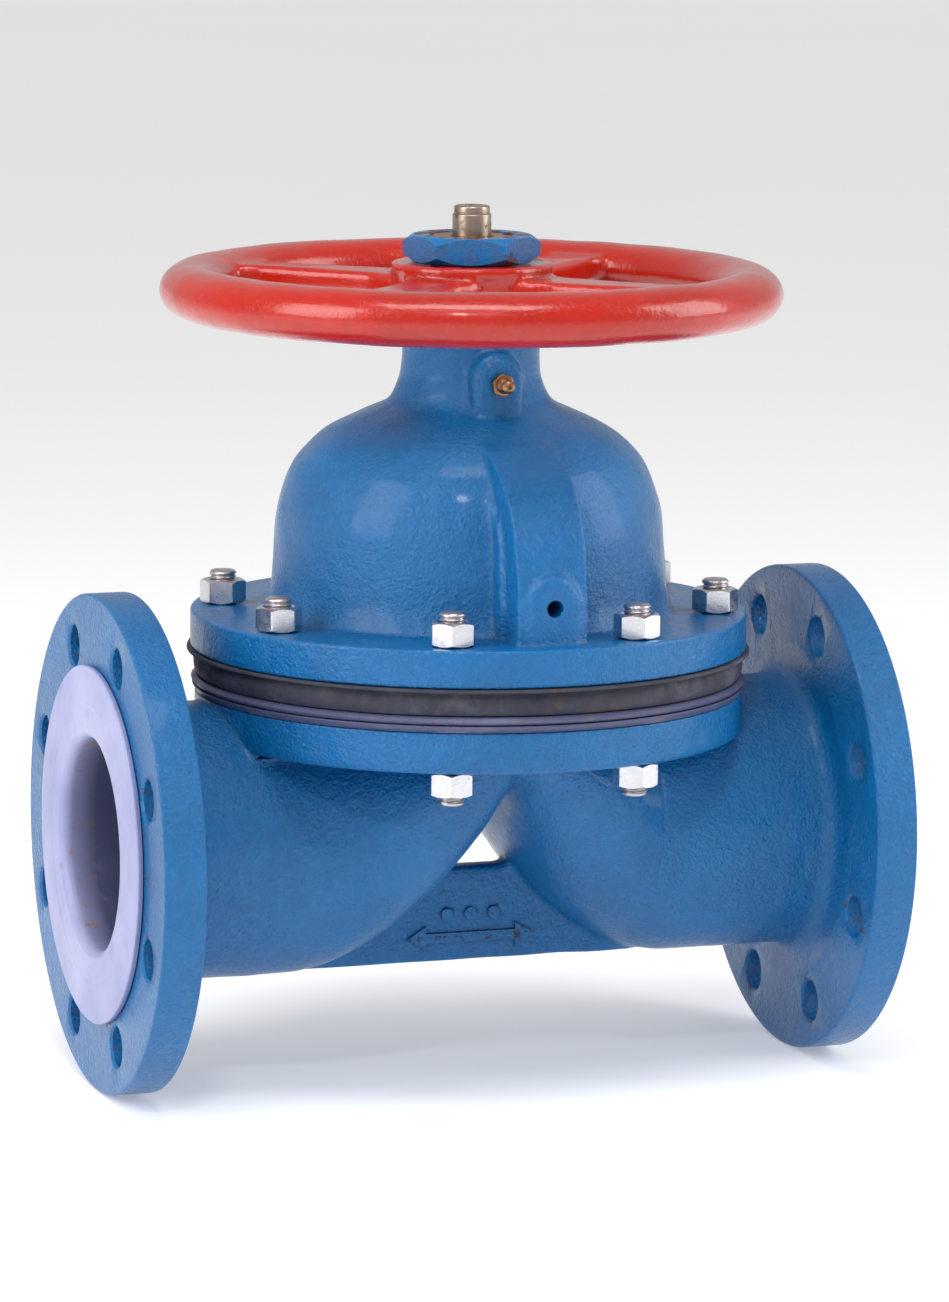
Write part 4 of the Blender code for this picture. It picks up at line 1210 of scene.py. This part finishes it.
def build_sleeve():
    node = "sleeve_nut"
    top = high(node)
    bottom = low(node)
    collar = bottom + 0.0060
    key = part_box("handwheel_key")
    outline = ((STEM_RADIUS + GAP, bottom, 0.0006), (reach(node), bottom, 0.0006),
               (reach(node), collar, 0.0006), (SLEEVE_RADIUS, collar), (SLEEVE_RADIUS, top, 0.0009),
               (STEM_RADIUS + GAP, top, 0.0011))
    sleeve = turned("sleeve_nut_bush", outline, 96)
    keyway = prism("keyway", ((key[0].x - GAP, key[0].y - GAP), (0.03, key[0].y - GAP),
                              (0.03, key[1].y + GAP), (key[0].x - GAP, key[1].y + GAP)),
                   low("handwheel_key") - 0.001, top + 0.01)
    cut(sleeve, keyway)
    bronze = bare_metal("bronze", shade(178, 132, 78), shade(84, 60, 40), 0.34, 0.00005, 0.12)
    return finished(sleeve, bronze, WHEEL_BODY, "bronze", node)


def build_nipple():
    """Hexagon, waist and ball head, on the pad at the front of the neck."""
    front = -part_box("grease_nipple")[0].y
    seat = front - NIPPLE_LENGTH
    outline = ((0.0, seat - 0.009), (0.0029, seat - 0.009, 0.0004), (0.0029, seat + 0.0036),
               (0.0036, seat + 0.0042), (0.0034, seat + 0.0056, 0.0004),
               (0.0020, seat + 0.0076, 0.0006),
               (0.0031, seat + 0.0090, 0.0009), (0.0030, seat + 0.0105, 0.0008),
               (0.0016, front, 0.0005), (0.0008, front - 0.0001), (0.0005, front - 0.0008),
               (0.0, front - 0.0009))
    nipple = turned("grease_nipple_fitting", outline, 48)
    join(nipple, hexagon("nipple_hexagon", 0.0092, seat + GAP, seat + 0.0038, 0.0010,
                         math.radians(30.0), math.radians(12.0)))
    shift(to_front(nipple), z=GREASE_HEIGHT)
    brass = bare_metal("brass", shade(170, 128, 92), shade(96, 62, 46), 0.32, 0.00006, 0.18)
    return finished(nipple, brass, HOUSING, "brass", "grease_nipple", angle=30.0)


def build_compressor():
    rough = bpy.data.objects.new("rough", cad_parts["compressor"].data.copy())
    compressor = cast("compressor_casting", [rough], 0.0009, 3)
    iron = bare_metal("raw_cast_iron", shade(112, 112, 118), shade(84, 60, 46), 0.58, 0.00030, 0.16)
    return finished(compressor, iron, STEM_BODY, "cast_iron", "compressor")


def dress_small_parts():
    """Better materials and rounded edges for the CAD pieces that stay."""
    steel = bare_metal("turned_steel", shade(182, 182, 186), shade(104, 78, 58), 0.28, 0.00004, 0.10)
    ring_rubber = rubber("ring_rubber")
    dressed = {"lower_thrust_washer": steel, "upper_thrust_washer": steel, "bearing_retainer": steel,
               "handwheel_key": steel, "compressor_pin": steel, "diaphragm_stud": steel,
               "dust_seal": ring_rubber, "stem_oring": ring_rubber}
    for node, material in dressed.items():
        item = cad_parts[node]
        item.data.materials.clear()
        item.data.materials.append(material)
        bevel = item.modifiers.new("soft_edges", "BEVEL")
        bevel.width = 0.0003
        bevel.segments = 2
        bevel.limit_method = "ANGLE"


# Studio.

def build_floor():
    half = 30.0
    height = CAD_BOX[0].z - 0.0002
    corners = [(half * x, half * y, height) for x, y in ((-1, -1), (1, -1), (1, 1), (-1, 1))]
    mesh = bpy.data.meshes.new("floor")
    mesh.from_pydata(corners, [], [(0, 1, 2, 3)])
    floor = bpy.data.objects.new("floor", mesh)
    bpy.context.scene.collection.objects.link(floor)
    paint = Finish("pale_floor", roughness=0.8)
    paint.set("Base Color", paint.blend(paint.noise(1.2, 2.0), (0.86, 0.86, 0.87, 1),
                                        (0.90, 0.90, 0.90, 1)))
    paint.set("Emission Color", (1.0, 1.0, 1.0, 1.0))
    paint.set("Emission Strength", 0.30)
    mesh.materials.append(paint.material)


def soft_light(name, place, size, power, target=(0.0, 0.0, 0.08)):
    data = bpy.data.lights.new(name, "AREA")
    data.shape = "RECTANGLE"
    data.size = size[0]
    data.size_y = size[1]
    data.energy = power
    light = bpy.data.objects.new(name, data)
    light.location = place
    light.rotation_euler = (Vector(target) - Vector(place)).to_track_quat("-Z", "Y").to_euler()
    bpy.context.scene.collection.objects.link(light)


def build_lights():
    world = bpy.data.worlds.new("studio")
    world.use_nodes = True
    background = world.node_tree.nodes["Background"]
    background.inputs["Color"].default_value = (1.0, 1.0, 1.0, 1.0)
    background.inputs["Strength"].default_value = 0.50
    bpy.context.scene.world = world
    soft_light("left_box", (-1.6, -0.35, 0.9), (0.9, 1.4), 20.0)
    soft_light("right_box", (1.6, -0.55, 0.8), (0.9, 1.4), 17.0)
    soft_light("front_spark", (-0.7, -1.7, 1.6), (0.22, 0.22), 7.0)
    soft_light("top_box", (-0.2, -0.5, 1.6), (1.0, 0.5), 11.0)


def build_camera():
    """Camera left of and above the valve, looking at its front and its left flange."""
    turn = math.radians(19.13)
    drop = math.radians(9.23)
    tilt = math.radians(0.54)
    ahead = Vector((math.sin(turn) * math.cos(drop), math.cos(turn) * math.cos(drop), -math.sin(drop)))
    right = Vector((math.cos(turn), -math.sin(turn), 0.0))
    upward = right.cross(ahead)
    tilted_right = math.cos(tilt) * right + math.sin(tilt) * upward
    tilted_up = math.cos(tilt) * upward - math.sin(tilt) * right
    axes = Matrix((tilted_right, tilted_up, -ahead)).transposed()
    data = bpy.data.cameras.new("camera")
    data.lens = 168.0
    data.sensor_width = 36.0
    data.clip_end = 60.0
    camera = bpy.data.objects.new("camera", data)
    camera.matrix_world = Matrix.LocRotScale(Vector((-0.8715, -2.5214, 0.5117)), axes, None)
    bpy.context.scene.collection.objects.link(camera)
    bpy.context.scene.camera = camera
    bpy.context.scene.view_settings.view_transform = "Standard"


def write_sizes():
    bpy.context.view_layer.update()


def main():
    build_body()
    lining_white = fluoropolymer("lining_white")
    build_lining(lining_white)
    build_face_sheet(lining_white)
    build_backing(rubber("backing_rubber"))
    build_bonnet()
    build_handwheel()
    build_fasteners()
    build_locknut()
    build_stem()
    build_sleeve()
    build_nipple()
    build_compressor()
    dress_small_parts()
    build_floor()
    build_lights()
    build_camera()
    write_sizes()


main()
